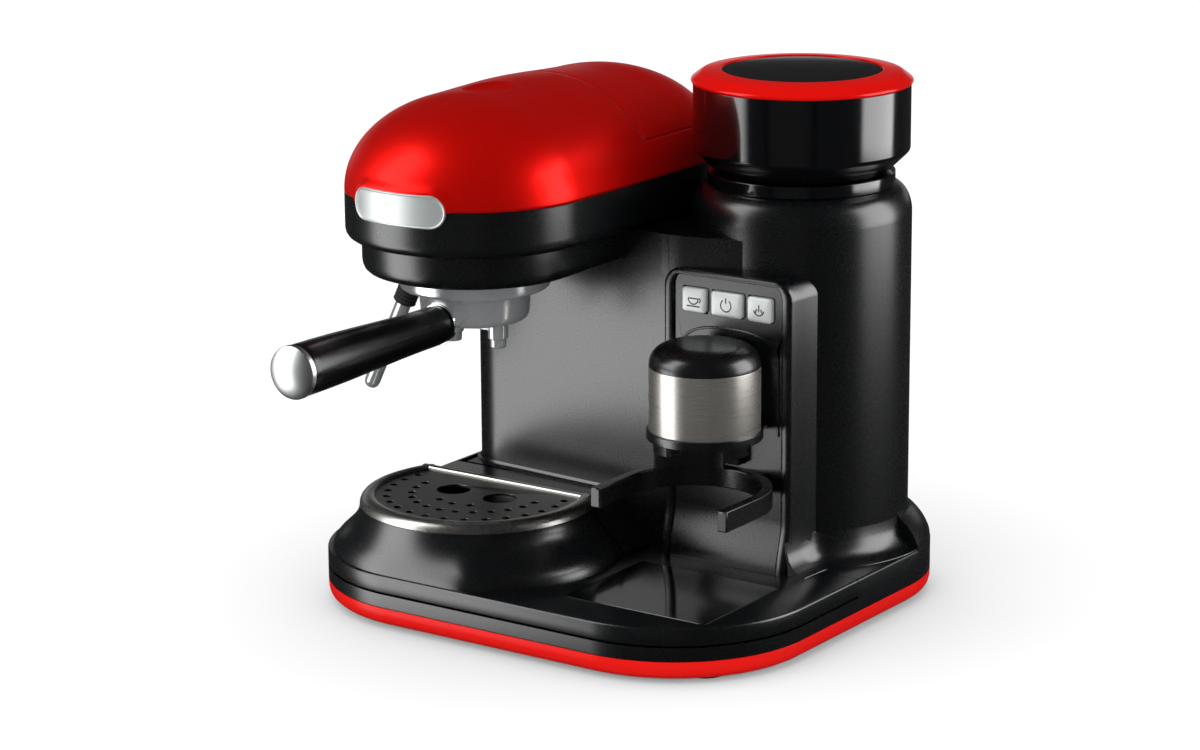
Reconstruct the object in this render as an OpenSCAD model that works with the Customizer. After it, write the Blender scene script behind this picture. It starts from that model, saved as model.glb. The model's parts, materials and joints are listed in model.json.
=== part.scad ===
// Espresso machine with a built-in coffee grinder.
// The model is laid out from the brewing group: its upright axis is x = 0, y = 0,
// the front faces -Y, and z = 0 is the table. place() then centres the whole machine.

/* [Base] */
// Left edge of the base, from the group axis
base_left = 96; // [90:1:108]
// Front edge of the base, ahead of the group axis
base_front = 77; // [75:1:90]
// Radius of the two front corners
front_corner_r = 85; // [60:1:86]
// Radius of the left rear corner
rear_corner_r = 60; // [40:1:70]
// Margin of the base around the grinder tower
tower_margin = 13.6; // [11:0.2:18]
// Depth that the feet stand below the coloured trim
foot_show = 2; // [1.5:0.1:3]
// Radius of a foot
foot_r = 11; // [8:0.5:14]
// Thickness of the bottom plate
bottom_t = 2; // [1.5:0.1:2.5]
// Top of the coloured trim
trim_top = 13; // [11:0.5:15]
// Depth that the trim curves in at its lower edge
trim_curl = 5; // [3:0.5:5.5]
// Top of the base pan, where the tray slides
pan_top = 21.3; // [19:0.1:24]
// Top of the tray and the deck around the body
deck_top = 32.5; // [31:0.5:36]

/* [Drip tray] */
// Outside radius of the round plinth
plinth_r = 69.4; // [67:0.2:72]
// Height of the plinth's rim
plinth_top = 61; // [56:0.5:66]
// Distance that the plinth spreads at its foot
plinth_flare = 5.8; // [3:0.2:6]
// Straight back edge of the plinth, behind the group axis
chord_y = 30; // [24:0.5:34]
// Radius of the grate inside its rolled rim
grate_r = 61; // [58:0.5:63]
// Height of the rolled rim
rim_h = 6; // [4:0.5:7]
// Diameter of the small drain holes
drain_d = 5; // [3.5:0.1:6]
// Diameter of the two drip holes
drip_d = 20; // [14:0.5:22]
// Distance of each drip hole from the group axis
drip_x = 16.8; // [14:0.2:20]
// Width of the smooth plate on the tray
plate_w = 94; // [80:1:96]
// Depth of the smooth plate
plate_d = 78; // [60:1:80]

/* [Body] */
// Left side of the body, from the group axis
body_left = 60; // [50:1:66]
// Radius of the body's left corners
body_corner_r = 28; // [15:1:32]
// Wall of the moulded shells
wall = 3; // [2:0.1:3.5]
// Seam between the front shell and the rear cover
seam_y = 136; // [132:0.5:140]

/* [Grinder tower] */
// Clearance between the head and the tower
head_gap = 1.6; // [1:0.1:8]
// Tower axis behind the group axis
tower_y = 130; // [128:0.5:134]
// Radius of the tower
tower_r = 64.4; // [62:0.2:65]
// Top of the tower's straight wall
tower_top_z = 228; // [226:0.5:232]
// Height of the tower's rounded shoulder
shoulder_h = 16.7; // [14:0.1:18]
// Radius of the grind ring
ring_r = 54.5; // [52:0.1:56]
// Height of the grind ring that shows
ring_h = 7.3; // [6:0.1:9]

/* [Bean hopper] */
// Radius of the hopper's wall
hopper_r = 63; // [60:0.2:63.5]
// Height of the hopper's sloping foot above the grind ring
hopper_foot = 11.5; // [9:0.1:13]
// Height of the hopper's straight wall
hopper_h = 39.4; // [33:0.1:41]
// Radius of the lid
lid_r = 64.2; // [63.8:0.1:64.8]
// Height of the lid above the hopper's wall
lid_h = 8.2; // [7.5:0.1:11]
// Radius of the window in the lid
window_r = 46.2; // [40:0.2:50]

/* [Head] */
// Radius and half width of the head
head_r = 74; // [73:0.1:74.6]
// Centre of the head's rounded back, behind the group axis
head_back = 125; // [120:0.5:128]
// Underside of the head's band
band_low_z = 221; // [218:0.5:223]
// Top of the band, where the cover begins
band_top_z = 248.3; // [245:0.1:250]
// Height of the curved cover above the band
dome_h = 55.2; // [50:0.1:60]
// Seam between the cover and the tank lid
lid_seam_y = 75; // [68:1:80]
// Height of the tank lid's lower edge above the band
lid_seam_h = 21.7; // [16:0.1:26]
// Radius of the skirt round the brewing group
skirt_r = 64.7; // [60:0.1:66]
// Underside of the skirt
skirt_low_z = 201; // [199:0.5:204]
// Width of the badge plate
badge_w = 64; // [50:1:70]
// Height of the badge plate
badge_h = 19; // [16:0.5:25]

/* [Brewing group] */
// Outside radius of the bayonet ring
group_r = 43.7; // [42:0.1:46]
// Height of the bayonet ring
group_h = 10.7; // [10:0.1:12]
// Outside radius of the filter holder
holder_r = 32.6; // [31:0.1:33.5]
// Underside of the filter holder
holder_low_z = 170.8; // [166:0.2:174]
// Distance of each spout from the group axis
spout_x = 16; // [12:0.5:18]
// Height of the spout tips
spout_tip_z = 154.5; // [150:0.5:158]
// Far end of the handle, ahead of the group axis
handle_end = 171; // [150:1:180]
// Radius of the handle
handle_r = 14.8; // [12:0.1:15]
// Height of the handle's axis
handle_z = 174; // [172:0.5:176]
// Quarter turn that locks the holder
lock_angle = 45; // [40:1:50]

/* [Steam wand] */
// Wand pivot to the left of the group axis
wand_x = 51.3; // [51:0.1:53]
// Wand pivot behind the group axis
wand_y = 13; // [12:0.5:15]
// Lean of the wand from upright
wand_lean = 26; // [20:1:30]
// Length of the wand's tube
wand_len = 86; // [78:1:88]
// Radius of the wand's tube
wand_r = 4.7; // [4:0.1:5]
// Radius of the steam knob
knob_r = 12.5; // [10:0.5:13]
// Distance that the knob stands out
knob_h = 17; // [12:0.5:20]

/* [Grinder outlet] */
// Width of the housing that holds the outlet
housing_w = 86; // [82:0.5:88]
// Housing centre to the left of the tower axis
housing_shift = 3.7; // [0:0.1:5]
// Face of that housing, behind the group axis
face_y = 56; // [54:0.5:57]
// Distance that the housing's foot comes forward
face_toe = 6; // [2:0.5:7]
// Thickness of the housing's front rim
rim_t = 2; // [1.6:0.1:2.4]
// Top of the housing
housing_top_z = 202.5; // [201:0.5:208]
// Outlet axis, behind the group axis
outlet_y = 28; // [26:0.5:30]
// Radius of the steel sleeve
sleeve_r = 31.9; // [30:0.1:33]
// Underside of the sleeve
sleeve_low_z = 119.5; // [118:0.5:121]
// Top of the sleeve
sleeve_top_z = 156.5; // [152:0.5:158]
// Height of the cap above the sleeve
cap_h = 14; // [12:0.5:18.5]
// Inner radius of the fork that carries the filter holder
fork_r = 39.7; // [39:0.1:41]
// Thickness of the fork's arms
fork_t = 6; // [4:0.5:7]
// Front tips of the fork, ahead of the group axis
fork_tip = 20; // [14:0.5:24]
// Underside of the fork
fork_low_z = 77; // [75:0.5:79]
// Height of the fork
fork_h = 12; // [9:0.5:13]
// Travel of the grinding lever
lever_travel = 2.5; // [1.5:0.1:2.5]

/* [Buttons] */
// Margin of the panel at the left of the buttons
panel_left = 6.3; // [4:0.1:8]
// Margin of the panel at the right of the buttons
panel_right = 6.1; // [4:0.1:8]
// Width of the middle button
power_w = 21; // [18:0.2:24]
// Height of a button
button_h = 14.4; // [12:0.1:16]
// Gap between two buttons
button_gap = 3.6; // [2:0.1:4.5]
// Middle height of the buttons
button_z = 185; // [184:0.5:189]
// Travel of a button
button_travel = 2; // [1:0.1:2]

/* [Clearances] */
// Gap round parts that are fixed in place
fit_gap = 0.2; // [0.1:0.05:0.3]
// Gap round parts that move
run_gap = 0.4; // [0.3:0.05:0.5]
// Radial gap of a shaft in its bearing
shaft_gap = 0.06; // [0.02:0.01:0.09]

/* [Hidden] */
$fn = 96;
eps = 0.01;

// Edges and centres that follow from the sizes above
tower_x = head_r + head_gap + tower_r;
base_right = tower_x + tower_r + tower_margin;
base_back = tower_y + tower_r + tower_margin;
tower_corner_r = tower_r + tower_margin;
wall_y = tower_y - tower_r;
body_back = tower_y + tower_r;
centre_x = (base_right - base_left) / 2;
centre_y = (base_back - handle_end) / 2;

// Base
pan_low_z = foot_show + 3;
pan_inset = trim_curl + 1.3;
pan_wall = 3;
pan_deck_t = 3;
bottom_z = pan_low_z - bottom_t;
boss_r = 4;
screw_r = 1.3;
screw_head_r = 3.2;
screw_head_h = 1.2;
trim_steps = 4;

// Tray
tray_low_z = pan_top + fit_gap;
tray_floor = 2.5;
tray_wall = 3;
bowl_r = plinth_r - tray_wall;
tray_side_y = 69;
housing_x = tower_x - housing_shift;
housing_left = housing_x - housing_w / 2;
housing_right = housing_x + housing_w / 2;
tray_mid_y = face_y - face_toe - 2;
ledge_left = body_left + 2;
ledge_right = plinth_r + plinth_flare;
plate_x = base_right - 28 - plate_w;
plate_y = 29 - plate_d;
plate_t = 1.6;
plate_proud = 0.4;
foot_rise = 17.5;
grate_t = 1.5;

// Head and group
band_floor = 3;
neck_r = 36;
neck_low_z = skirt_low_z + 2;
holder_top_z = skirt_low_z - 2.5;
holder_wall = 1.5;
ear_r = 38;
ear_low_z = skirt_low_z - 8;
ear_h = 3;
ear_half = 18;

dome_top_z = band_top_z + dome_h;
lid_seam_z = band_top_z + lid_seam_h;
hinge_r = 3;
pin_r = 1.2;
hinge_hw = 14;
hinge_y = head_back + head_r * cos(asin((lid_seam_z - band_top_z) / (dome_top_z - band_top_z))) + 3.4;
hinge_z = lid_seam_z + 1;
recess_y = 16;
recess_ball = 26;
recess_depth = 6;

// Tank
tank_hw = 45;
tank_y0 = 118;
tank_y1 = 172;
tank_low_z = pan_top + 8;
tank_top_z = band_top_z + 9.7;
tank_wall = 2.5;
tank_gap = 2.5;

// Pump, its stands and the pipes
pump_x = 0;
pump_y = wall_y + 26.4;
pump_r = 18;
pump_hl = 26;
pump_z = pan_top + pump_r + 8;
port_r = 8;
port_l = 14;
port_end = pump_hl + port_l;
stand_x = 34;
stand_t = 6;
stand_hw = 12;
boiler_r = 48;
pipe_r = 2.5;
hose_x = 50;
rise_x = -48;
drop_x = -20;
rise_top_z = band_low_z - 31;
cord_x = -20;
cord_z = deck_top + 40;
cord_r = 7;
cord_bore = 3.6;

// Grinder
motor_r = 32;
motor_low_z = 62;
gearbox_low_z = 132;
chamber_low_z = 165;
chamber_r = 44;
chamber_top_z = tower_top_z - 3;
burr_low_z = 196;
shaft_r = 4;
flange_t = 3;
cap_top_z = tower_top_z + shoulder_h;
ring_top_z = cap_top_z + fit_gap + ring_h;
hopper_low_z = ring_top_z + hopper_foot;
hopper_top_z = hopper_low_z + hopper_h;
sleeve_ring_r = 41;
niche_hw = 30;
niche_top_z = 167;
button_proud = 0.8;

// Outlet
panel_back = face_y + rim_t;
panel_t = 2.5;
opening_low_z = 62;
opening_edge = 6.5;
button_w = (housing_w - 2 * opening_edge - panel_left - panel_right - power_w) / 2 - button_gap;
chute_top_z = housing_top_z - 3;
opening_top_z = housing_top_z - wall - 0.4;
chute_hw = 10;
lever_hw = 8;
lever_low_z = fork_low_z + fork_h + 4;
lever_h = 11;
lever_t = 2;
fork_tab_hw = 22;
fork_back_y = face_y - 2;
board_y = panel_back + panel_t + button_travel;
board_hw = housing_w / 2 - opening_edge + 0.25;
flange_y = panel_back + panel_t;
neck_hw = 20;
fork_y = outlet_y - 13;
lever_r = fork_r - 2;

// Steam
knob_y = 60;
knob_z = (band_low_z + band_top_z) / 2;
stem_r = 4;
joint_r = 8.6;

// Moves the machine so that the middle of its outline is at x = 0, y = 0
module place() translate([-centre_x, -centre_y, 0]) children();

// Points along an arc about c, from angle a0 to a1
function arc(c, r, a0, a1, n = 14) =
  [for (i = [0:n]) c + r * [cos(a0 + (a1 - a0) * i / n), sin(a0 + (a1 - a0) * i / n)]];

// Outline of the base, drawn in by an inset
function base_outline(inset) = concat(
  arc([front_corner_r - base_left, front_corner_r - base_front], front_corner_r - inset, 180, 270),
  arc([base_right - front_corner_r, front_corner_r - base_front], front_corner_r - inset, 270, 360),
  arc([tower_x, tower_y], tower_corner_r - inset, 0, 90),
  arc([rear_corner_r - base_left, base_back - rear_corner_r], rear_corner_r - inset, 90, 180));

// Outline of the column and the grinder tower, drawn in by an inset
function body_outline(inset) = concat(
  arc([body_corner_r - body_left, wall_y + body_corner_r], body_corner_r - inset, 180, 270, 8),
  [[housing_left + 1, face_y + 1 + inset]],
  arc([tower_x, tower_y], tower_r - inset - fit_gap, -90, 90, 40),
  arc([body_corner_r - body_left, body_back - body_corner_r], body_corner_r - inset, 90, 180, 8));

// Outline of the head: a half round at each end
function head_outline(inset) = concat(
  arc([0, 0], head_r - inset, 180, 360, 36),
  arc([0, head_back], head_r - inset, 0, 180, 36));

// Slab with the base's outline between two heights
module base_slab(inset, z0, z1)
  translate([0, 0, z0]) linear_extrude(z1 - z0) polygon(base_outline(inset));

module body_slab(inset, z0, z1)
  translate([0, 0, z0]) linear_extrude(z1 - z0) polygon(body_outline(inset));

module head_slab(inset, z0, z1)
  translate([0, 0, z0]) linear_extrude(z1 - z0) polygon(head_outline(inset));

// Box between two corners
module span(low, high) translate(low) cube(high - low);

// Upright ring between two heights
module ring(r_in, r_out, z0, z1)
  difference() {
    translate([0, 0, z0]) cylinder(r = r_out, h = z1 - z0);
    translate([0, 0, z0 - 1]) cylinder(r = r_in, h = z1 - z0 + 2);
  }

module on_tower() translate([tower_x, tower_y, 0]) children();
module on_outlet() translate([tower_x, outlet_y, 0]) children();

// Places one copy at each foot of the base
module at_feet()
  for (p = [[-base_left + 36, -base_front + 42], [base_right - 36, -base_front + 42],
            [-base_left + 36, base_back - 42], [base_right - 48, base_back - 48]])
    translate([p[0], p[1], 0]) children();

// Places one copy at each screw of the bottom plate
module at_screws()
  for (p = [[-base_left + 64, -base_front + 28], [base_right - 64, -base_front + 28],
            [-base_left + 64, base_back - 28], [base_right - 76, base_back - 28]])
    translate([p[0], p[1], 0]) children();

// ---- Base ----

module bottom_plate() color("#202224") place()
  difference() {
    base_slab(pan_inset, bottom_z, pan_low_z);
    at_screws() translate([0, 0, bottom_z - 1]) cylinder(r = screw_r + fit_gap, h = bottom_t + 2);
  }

module feet() color("#161616") place()
  at_feet() cylinder(r = foot_r, h = bottom_z);

module base_trim() color("#e01008") place()
  difference() {
    union()
      for (i = [0:trim_steps - 1])
        base_slab(trim_curl * pow(1 - i / (trim_steps - 1), 2),
          foot_show + (trim_top - foot_show) * i / trim_steps,
          foot_show + (trim_top - foot_show) * (i + 1) / trim_steps);
    base_slab(pan_inset - fit_gap, foot_show - 1, trim_top + 1);
  }

module base_pan() color("#1c1d1f") place()
  difference() {
    union() {
      difference() {
        union() {
          base_slab(pan_inset, pan_low_z, trim_top + eps);
          base_slab(0, trim_top, pan_top);
        }
        base_slab(pan_inset + pan_wall, pan_low_z - 1, pan_top - pan_deck_t);
      }
      at_screws() translate([0, 0, pan_low_z]) cylinder(r = boss_r, h = pan_top - pan_low_z - 1);
    }
    at_screws() translate([0, 0, pan_low_z - 1]) cylinder(r = screw_r, h = 9);
  }

module base_screws() color("#b8babc") place()
  at_screws() {
    translate([0, 0, bottom_z - screw_head_h]) cylinder(r = screw_head_r, h = screw_head_h);
    translate([0, 0, bottom_z - eps]) cylinder(r = screw_r - shaft_gap, h = bottom_t + 6);
  }

// Plan of everything that belongs to the sliding tray, grown by a gap
module tray_plan(gap)
  union() {
    translate([-base_left - 1, -base_front - 1])
      square([base_left + base_right + 2, base_front + 1 + chord_y + gap]);
    translate([ledge_right + run_gap - gap, 0])
      square([housing_right + 2 - ledge_right - run_gap + 2 * gap, tray_mid_y + gap]);
    translate([housing_right + 2, 0]) square([base_right - housing_right, tray_side_y + gap]);
  }

// Fixed deck round the body, with the step behind the drip grate
module deck()
  difference() {
    union() {
      difference() {
        base_slab(0, pan_top, deck_top);
        translate([0, 0, pan_top - 1]) linear_extrude(deck_top) tray_plan(run_gap);
      }
      span([-ledge_left, chord_y + run_gap, pan_top], [ledge_right, wall_y + wall / 2, plinth_top]);
    }
    span([-ledge_left + wall, chord_y + run_gap + wall, pan_top - 1],
      [ledge_right - wall, wall_y + wall, plinth_top - wall]);
    body_slab(wall, pan_top - 1, plinth_top + 1);
    housing_block(wall, rim_t);
  }

// ---- Drip tray ----

// Radius of the plinth's flared side at a share t of its height
function plinth_at(t) = plinth_r + plinth_flare * pow(1 - t, 3);

module drip_tray() color("#1c1d1f") place()
  difference() {
    union() {
      intersection() {
        base_slab(0, tray_low_z, deck_top);
        translate([0, 0, tray_low_z - 1]) linear_extrude(deck_top) tray_plan(0);
      }
      intersection() {
        rotate_extrude() polygon(concat([[0, deck_top - 1]],
          [for (i = [0:8]) [plinth_at(i / 8), deck_top - 1 + (plinth_top - deck_top + 1) * i / 8]],
          [[0, plinth_top]]));
        translate([0, chord_y - 100, 0]) cube([2 * base_front, 200, 4 * plinth_top], center = true);
      }
    }
    intersection() {
      translate([0, 0, tray_low_z + tray_floor]) cylinder(r = bowl_r, h = plinth_top);
      translate([0, chord_y - tray_wall - 100, 0])
        cube([2 * base_front, 200, 4 * plinth_top], center = true);
    }
    span([plate_x - fit_gap, plate_y - fit_gap, deck_top - plate_t + plate_proud],
      [plate_x + plate_w + fit_gap, plate_y + plate_d + fit_gap, deck_top + 1]);
    span([plate_x + tray_wall, plate_y + tray_wall, tray_low_z + tray_floor],
      [plate_x + plate_w - tray_wall, plate_y + plate_d - tray_wall, deck_top]);
  }

module tray_plate() color("#0c0d0e") place()
  span([plate_x, plate_y, deck_top - plate_t + plate_proud],
    [plate_x + plate_w, plate_y + plate_d, deck_top + plate_proud]);

// One ring of drain holes of radius r, on the front side of the chord
module drain_ring(r, first, step, count)
  for (i = [0:count - 1])
    rotate([0, 0, first + step * i]) translate([0, -r, 0]) cylinder(d = drain_d, h = 20, $fn = 24);

module drip_grate() color("#c4c5c6") place()
  intersection() {
    difference() {
      union() {
        translate([0, 0, plinth_top + rim_h - grate_t - 1]) cylinder(r = grate_r + 1, h = grate_t);
        rotate_extrude() polygon(concat(
          [[grate_r - 0.5, plinth_top + rim_h - grate_t - 1], [grate_r, plinth_top + rim_h - 0.5]],
          [for (i = [0:6]) [grate_r + 2 + (plinth_r - grate_r - 2) * sin(15 * i),
            plinth_top + rim_h * cos(15 * i)]],
          [[bowl_r, plinth_top], [bowl_r - 1, plinth_top + rim_h - grate_t - 1]]));
      }
      translate([0, 0, plinth_top - 1]) {
        drain_ring(grate_r - 7.5, -102, 13, 17);
        drain_ring(grate_r - 22, -90, 15.3, 13);
        drain_ring(grate_r - 36, -26, 26, 3);
        for (s = [-1, 1]) translate([s * drip_x, -1.5, 0]) cylinder(d = drip_d, h = 20);
      }
    }
    translate([0, chord_y - run_gap - 100, 0]) cube([2 * base_front, 200, 4 * plinth_top], center = true);
  }

// ---- Body shells ----

// Side view of the outlet's housing: depths and heights of its outline
module housing_profile(inset, front)
  polygon([[face_y - face_toe + front, deck_top - 1], [face_y - face_toe + front, deck_top + 2],
    [face_y - 1 + front, 80], [face_y + front, 100], [face_y + front, housing_top_z - 1.5 - inset / 2],
    [face_y + 3 + front, housing_top_z - inset], [tower_y - 20, housing_top_z + 6 - inset],
    [tower_y - 20, deck_top - 1]]);

// Block of the outlet's housing, drawn in by an inset at its sides and by another at its front
module housing_block(inset, front)
  translate([housing_right - inset, 0, 0]) rotate([90, 0, -90])
    linear_extrude(housing_w - 2 * inset) mirror([1, 0]) housing_profile(inset, front);

// Column, tower and outlet housing as one shell, before it is split at the seam
module whole_shell()
  difference() {
    union() {
      body_slab(0, pan_top, band_low_z);
      on_tower() translate([0, 0, pan_top]) cylinder(r = tower_r, h = tower_top_z - pan_top);
      housing_block(0, 0);
    }
    body_slab(wall, pan_top - 1, band_low_z - wall);
    on_tower() translate([0, 0, pan_top - 1]) cylinder(r = tower_r - wall, h = tower_top_z);
    housing_block(wall, rim_t);
    span([housing_left + opening_edge, face_y - face_toe - 1, opening_low_z],
      [housing_right - opening_edge, panel_back + eps, opening_top_z]);
    span([-tank_hw - tank_gap, tank_y0 - tank_gap, band_low_z - wall - 1],
      [tank_hw + tank_gap, tank_y1 + tank_gap, band_low_z + 1]);
    translate([drop_x, pump_y, band_low_z - wall - 1]) cylinder(r = 2 * pipe_r + 1, h = wall + 2);
  }

// Everything behind the seam, moved back by a gap
module behind_seam(gap) translate([0, seam_y + 200 + gap, 0]) cube([800, 400, 900], center = true);

module main_housing() color("#191a1c") place()
  difference() {
    union() {
      whole_shell();
      deck();
    }
    behind_seam(-fit_gap / 2);
  }

// Section of the rear cover's rounded foot: a share of its spread at each height
foot_shape = [[0, 1.1], [0.2, 0.97], [0.45, 0.8], [0.7, 0.55], [0.88, 0.25], [0.97, 0]];

module foot_section(r)
  polygon(concat([[r - wall / 2, deck_top - eps]],
    [[r + 0.97 * tower_margin, deck_top - eps]],
    [for (i = [len(foot_shape) - 1:-1:0]) [r + foot_shape[i][0] * tower_margin,
      deck_top + foot_shape[i][1] * foot_rise]],
    [[r - wall / 2, deck_top + 1.1 * foot_rise]]));

// The foot runs round the tower, along the back and round the left rear corner
module rear_foot()
  union() {
    on_tower() rotate_extrude(angle = 90) foot_section(tower_r);
    translate([tower_x, body_back, 0]) rotate([90, 0, -90])
      linear_extrude(tower_x + body_left - body_corner_r)
      mirror([1, 0]) foot_section(0);
    translate([body_corner_r - body_left, body_back - body_corner_r, 0])
      rotate([0, 0, 90]) rotate_extrude(angle = 90) foot_section(body_corner_r);
    translate([-body_left, body_back - body_corner_r, 0]) rotate([90, 0, 0]) mirror([1, 0, 0])
      linear_extrude(body_back - body_corner_r - seam_y) foot_section(0);
  }

module rear_cover() color("#191a1c") place()
  difference() {
    union() {
      intersection() {
        whole_shell();
        behind_seam(fit_gap / 2);
      }
      intersection() {
        difference() {
          union() {
            rear_foot();
            base_slab(0, pan_top, deck_top);
          }
          body_slab(wall, pan_top - 1, deck_top + foot_rise * 2);
        }
        behind_seam(fit_gap / 2);
      }
    }
    translate([cord_x, body_back - 20, cord_z]) rotate([-90, 0, 0]) cylinder(r = cord_r + fit_gap, h = 60);
  }

module cord_inlet() color("#161616") place()
  translate([cord_x, 0, cord_z]) rotate([-90, 0, 0])
    difference() {
      union() {
        translate([0, 0, body_back - wall - 4]) cylinder(r = cord_r, h = wall + 6);
        translate([0, 0, body_back + fit_gap]) cylinder(r = cord_r + 3, h = 3);
      }
      translate([0, 0, body_back - wall - 5]) cylinder(r = cord_bore, h = 30);
    }

// ---- Control panel ----

// Width and middle of each button, from left to right
function button_width(i) = i == 1 ? power_w : button_w;
function button_x(i) = housing_x + (panel_left - panel_right) / 2
  + (i - 1) * ((power_w + button_w) / 2 + button_gap);

// Arch of the niche behind the outlet, grown by a gap
module niche(gap, y0, y1)
  translate([tower_x, y1, 0]) rotate([90, 0, 0]) linear_extrude(y1 - y0) union() {
    translate([0, niche_top_z - niche_hw]) circle(r = niche_hw + gap);
    translate([-niche_hw - gap, sleeve_low_z + 2 - gap])
      square([2 * (niche_hw + gap), niche_top_z - niche_hw - sleeve_low_z - 2 + gap]);
  }

module control_panel() color("#141517") place()
  difference() {
    union() {
      span([housing_left + wall + fit_gap, panel_back, opening_low_z - 8],
        [housing_right - wall - fit_gap, panel_back + panel_t, housing_top_z - wall - fit_gap]);
      for (s = [-1, 1]) translate([housing_x + s * board_hw - s * 1.2 - 1.2,
        panel_back + panel_t - eps, button_z - 4])
        cube([2.4, button_travel + eps, 8]);
    }
    for (i = [0:2])
      span([button_x(i) - button_width(i) / 2 - run_gap, panel_back - 1, button_z - button_h / 2 - run_gap],
        [button_x(i) + button_width(i) / 2 + run_gap, panel_back + panel_t + 1,
          button_z + button_h / 2 + run_gap]);
    niche(0, panel_back - 1, panel_back + panel_t + 1);
    span([tower_x - lever_hw - run_gap, panel_back - 1, lever_low_z - run_gap],
      [tower_x + lever_hw + run_gap, panel_back + panel_t + 1, lever_low_z + lever_h + run_gap]);
  }

// A push button: its cap stands proud of the panel
module button(i) color("#c9cbcd") place()
  span([button_x(i) - button_width(i) / 2, face_y - button_proud, button_z - button_h / 2],
    [button_x(i) + button_width(i) / 2, panel_back + panel_t - 0.2, button_z + button_h / 2]);

module brew_button() button(0);
module power_button() button(1);
module steam_button() button(2);

module control_board() color("#1d5c33") place()
  span([housing_x - board_hw, board_y, button_z - 9], [housing_x + board_hw, board_y + 1.5, button_z + 9]);

// ---- Grinder outlet ----

module outlet_cap() color("#101113") place()
  difference() {
    union() {
      intersection() {
        on_outlet() {
          rotate_extrude() polygon(concat([[0, sleeve_top_z]],
            [for (i = [0:8]) [sleeve_r * pow(cos(11.25 * i), 0.5), sleeve_top_z + cap_h * sin(11.25 * i)]],
            [[0, sleeve_top_z + cap_h]]));
          translate([0, 0, sleeve_low_z]) cylinder(r = sleeve_r - 2 - fit_gap,
            h = sleeve_top_z - sleeve_low_z + eps);
        }
        span([0, -50, 0], [300, panel_back - fit_gap, 300]);
      }
      intersection() {
        span([tower_x - neck_hw, outlet_y, sleeve_low_z + 4],
          [tower_x + neck_hw, flange_y + eps, sleeve_top_z + 5]);
        niche(-fit_gap, outlet_y, flange_y + eps);
      }
      niche(2, flange_y, flange_y + 2);
    }
    on_outlet() translate([0, 0, sleeve_low_z - 1])
      cylinder(r = sleeve_r - 5, h = sleeve_top_z - sleeve_low_z + 6);
    span([tower_x - chute_hw, outlet_y, 130], [tower_x + chute_hw, flange_y + 3, 158]);
  }

module outlet_sleeve() color("#cfcfcf") place()
  difference() {
    on_outlet() ring(sleeve_r - 2, sleeve_r, sleeve_low_z, sleeve_top_z);
    span([tower_x - neck_hw - fit_gap, outlet_y, sleeve_low_z - 1],
      [tower_x + neck_hw + fit_gap, flange_y, sleeve_top_z + 1]);
  }

module outlet_collar() color("#101113") place()
  intersection() {
    on_outlet() {
      ring(sleeve_r - 5, sleeve_r + 1.4, sleeve_low_z - 5, sleeve_low_z);
      for (a = [-125, -30, 60])
        rotate([0, 0, a]) rotate_extrude(angle = 26) translate([sleeve_r - 4, sleeve_low_z - 11])
          square([3.4, 6 + eps]);
    }
    span([0, -50, 0], [300, panel_back - fit_gap, 300]);
  }

// Outline of the fork's arms and of the block behind them
module fork_plan() {
  fork_hw = fork_r + fork_t;
  difference() {
    union() {
      translate([-fork_hw, -fork_tip]) square([2 * fork_hw, fork_y + fork_tip]);
      intersection() {
        translate([0, fork_y]) circle(r = fork_hw);
        translate([-fork_hw, fork_y - 1]) square([2 * fork_hw, fork_back_y - fork_y + 1]);
      }
      translate([-fork_tab_hw, fork_back_y - 4]) square([2 * fork_tab_hw, panel_back - fork_back_y + 4]);
    }
    translate([0, fork_y]) circle(r = fork_r);
    translate([-fork_r, -fork_tip - 1]) square([2 * fork_r, fork_y + fork_tip + 1]);
  }
}

module dispenser_fork() color("#18191b") place()
  translate([tower_x, 0, fork_low_z]) linear_extrude(fork_h) fork_plan();

// Curved plate that the filter holder pushes, on a stem through the panel
module grind_lever() color("#222326") place()
  union() {
    translate([tower_x, fork_y, fork_low_z + fork_h + run_gap]) rotate([0, 0, 93])
      rotate_extrude(angle = 66)
      translate([lever_r - lever_t, 0]) square([lever_t, lever_h + 4]);
    span([tower_x - lever_hw, fork_y + lever_r - 1.6, lever_low_z],
      [tower_x + lever_hw, panel_back + panel_t, lever_low_z + lever_h]);
  }

module grind_switch() color("#33363a") place()
  difference() {
    span([tower_x - lever_hw - 4, flange_y, lever_low_z],
      [tower_x + lever_hw + 4, flange_y + 6, lever_low_z + 10]);
    span([tower_x - lever_hw - run_gap, flange_y - 1, lever_low_z - 1],
      [tower_x + lever_hw + run_gap, flange_y + lever_travel + 0.3, lever_low_z + 11]);
  }

// Sloping duct from the burrs to the outlet
module grounds_chute() color("#2a2b2d") place()
  difference() {
    translate([tower_x + chute_hw + wall, 0, 0]) rotate([90, 0, -90]) linear_extrude(2 * (chute_hw + wall))
      mirror([1, 0]) polygon([[flange_y + 2, 127], [tower_y - chamber_r - fit_gap, 170],
        [tower_y - chamber_r - fit_gap, chute_top_z], [flange_y + 2, 161]]);
    translate([tower_x + chute_hw, 0, 0]) rotate([90, 0, -90]) linear_extrude(2 * chute_hw)
      mirror([1, 0]) polygon([[flange_y, 130], [tower_y - chamber_r + 3, 178],
        [tower_y - chamber_r + 3, chute_top_z - 3], [flange_y, 158]]);
  }

// ---- Grinder ----

module grinder_motor() color("#8d9093") place()
  on_tower() {
    translate([0, 0, motor_low_z]) cylinder(r = motor_r, h = gearbox_low_z - motor_low_z);
    translate([0, 0, motor_low_z - 8]) cylinder(r = 9, h = 8 + eps);
  }

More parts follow.
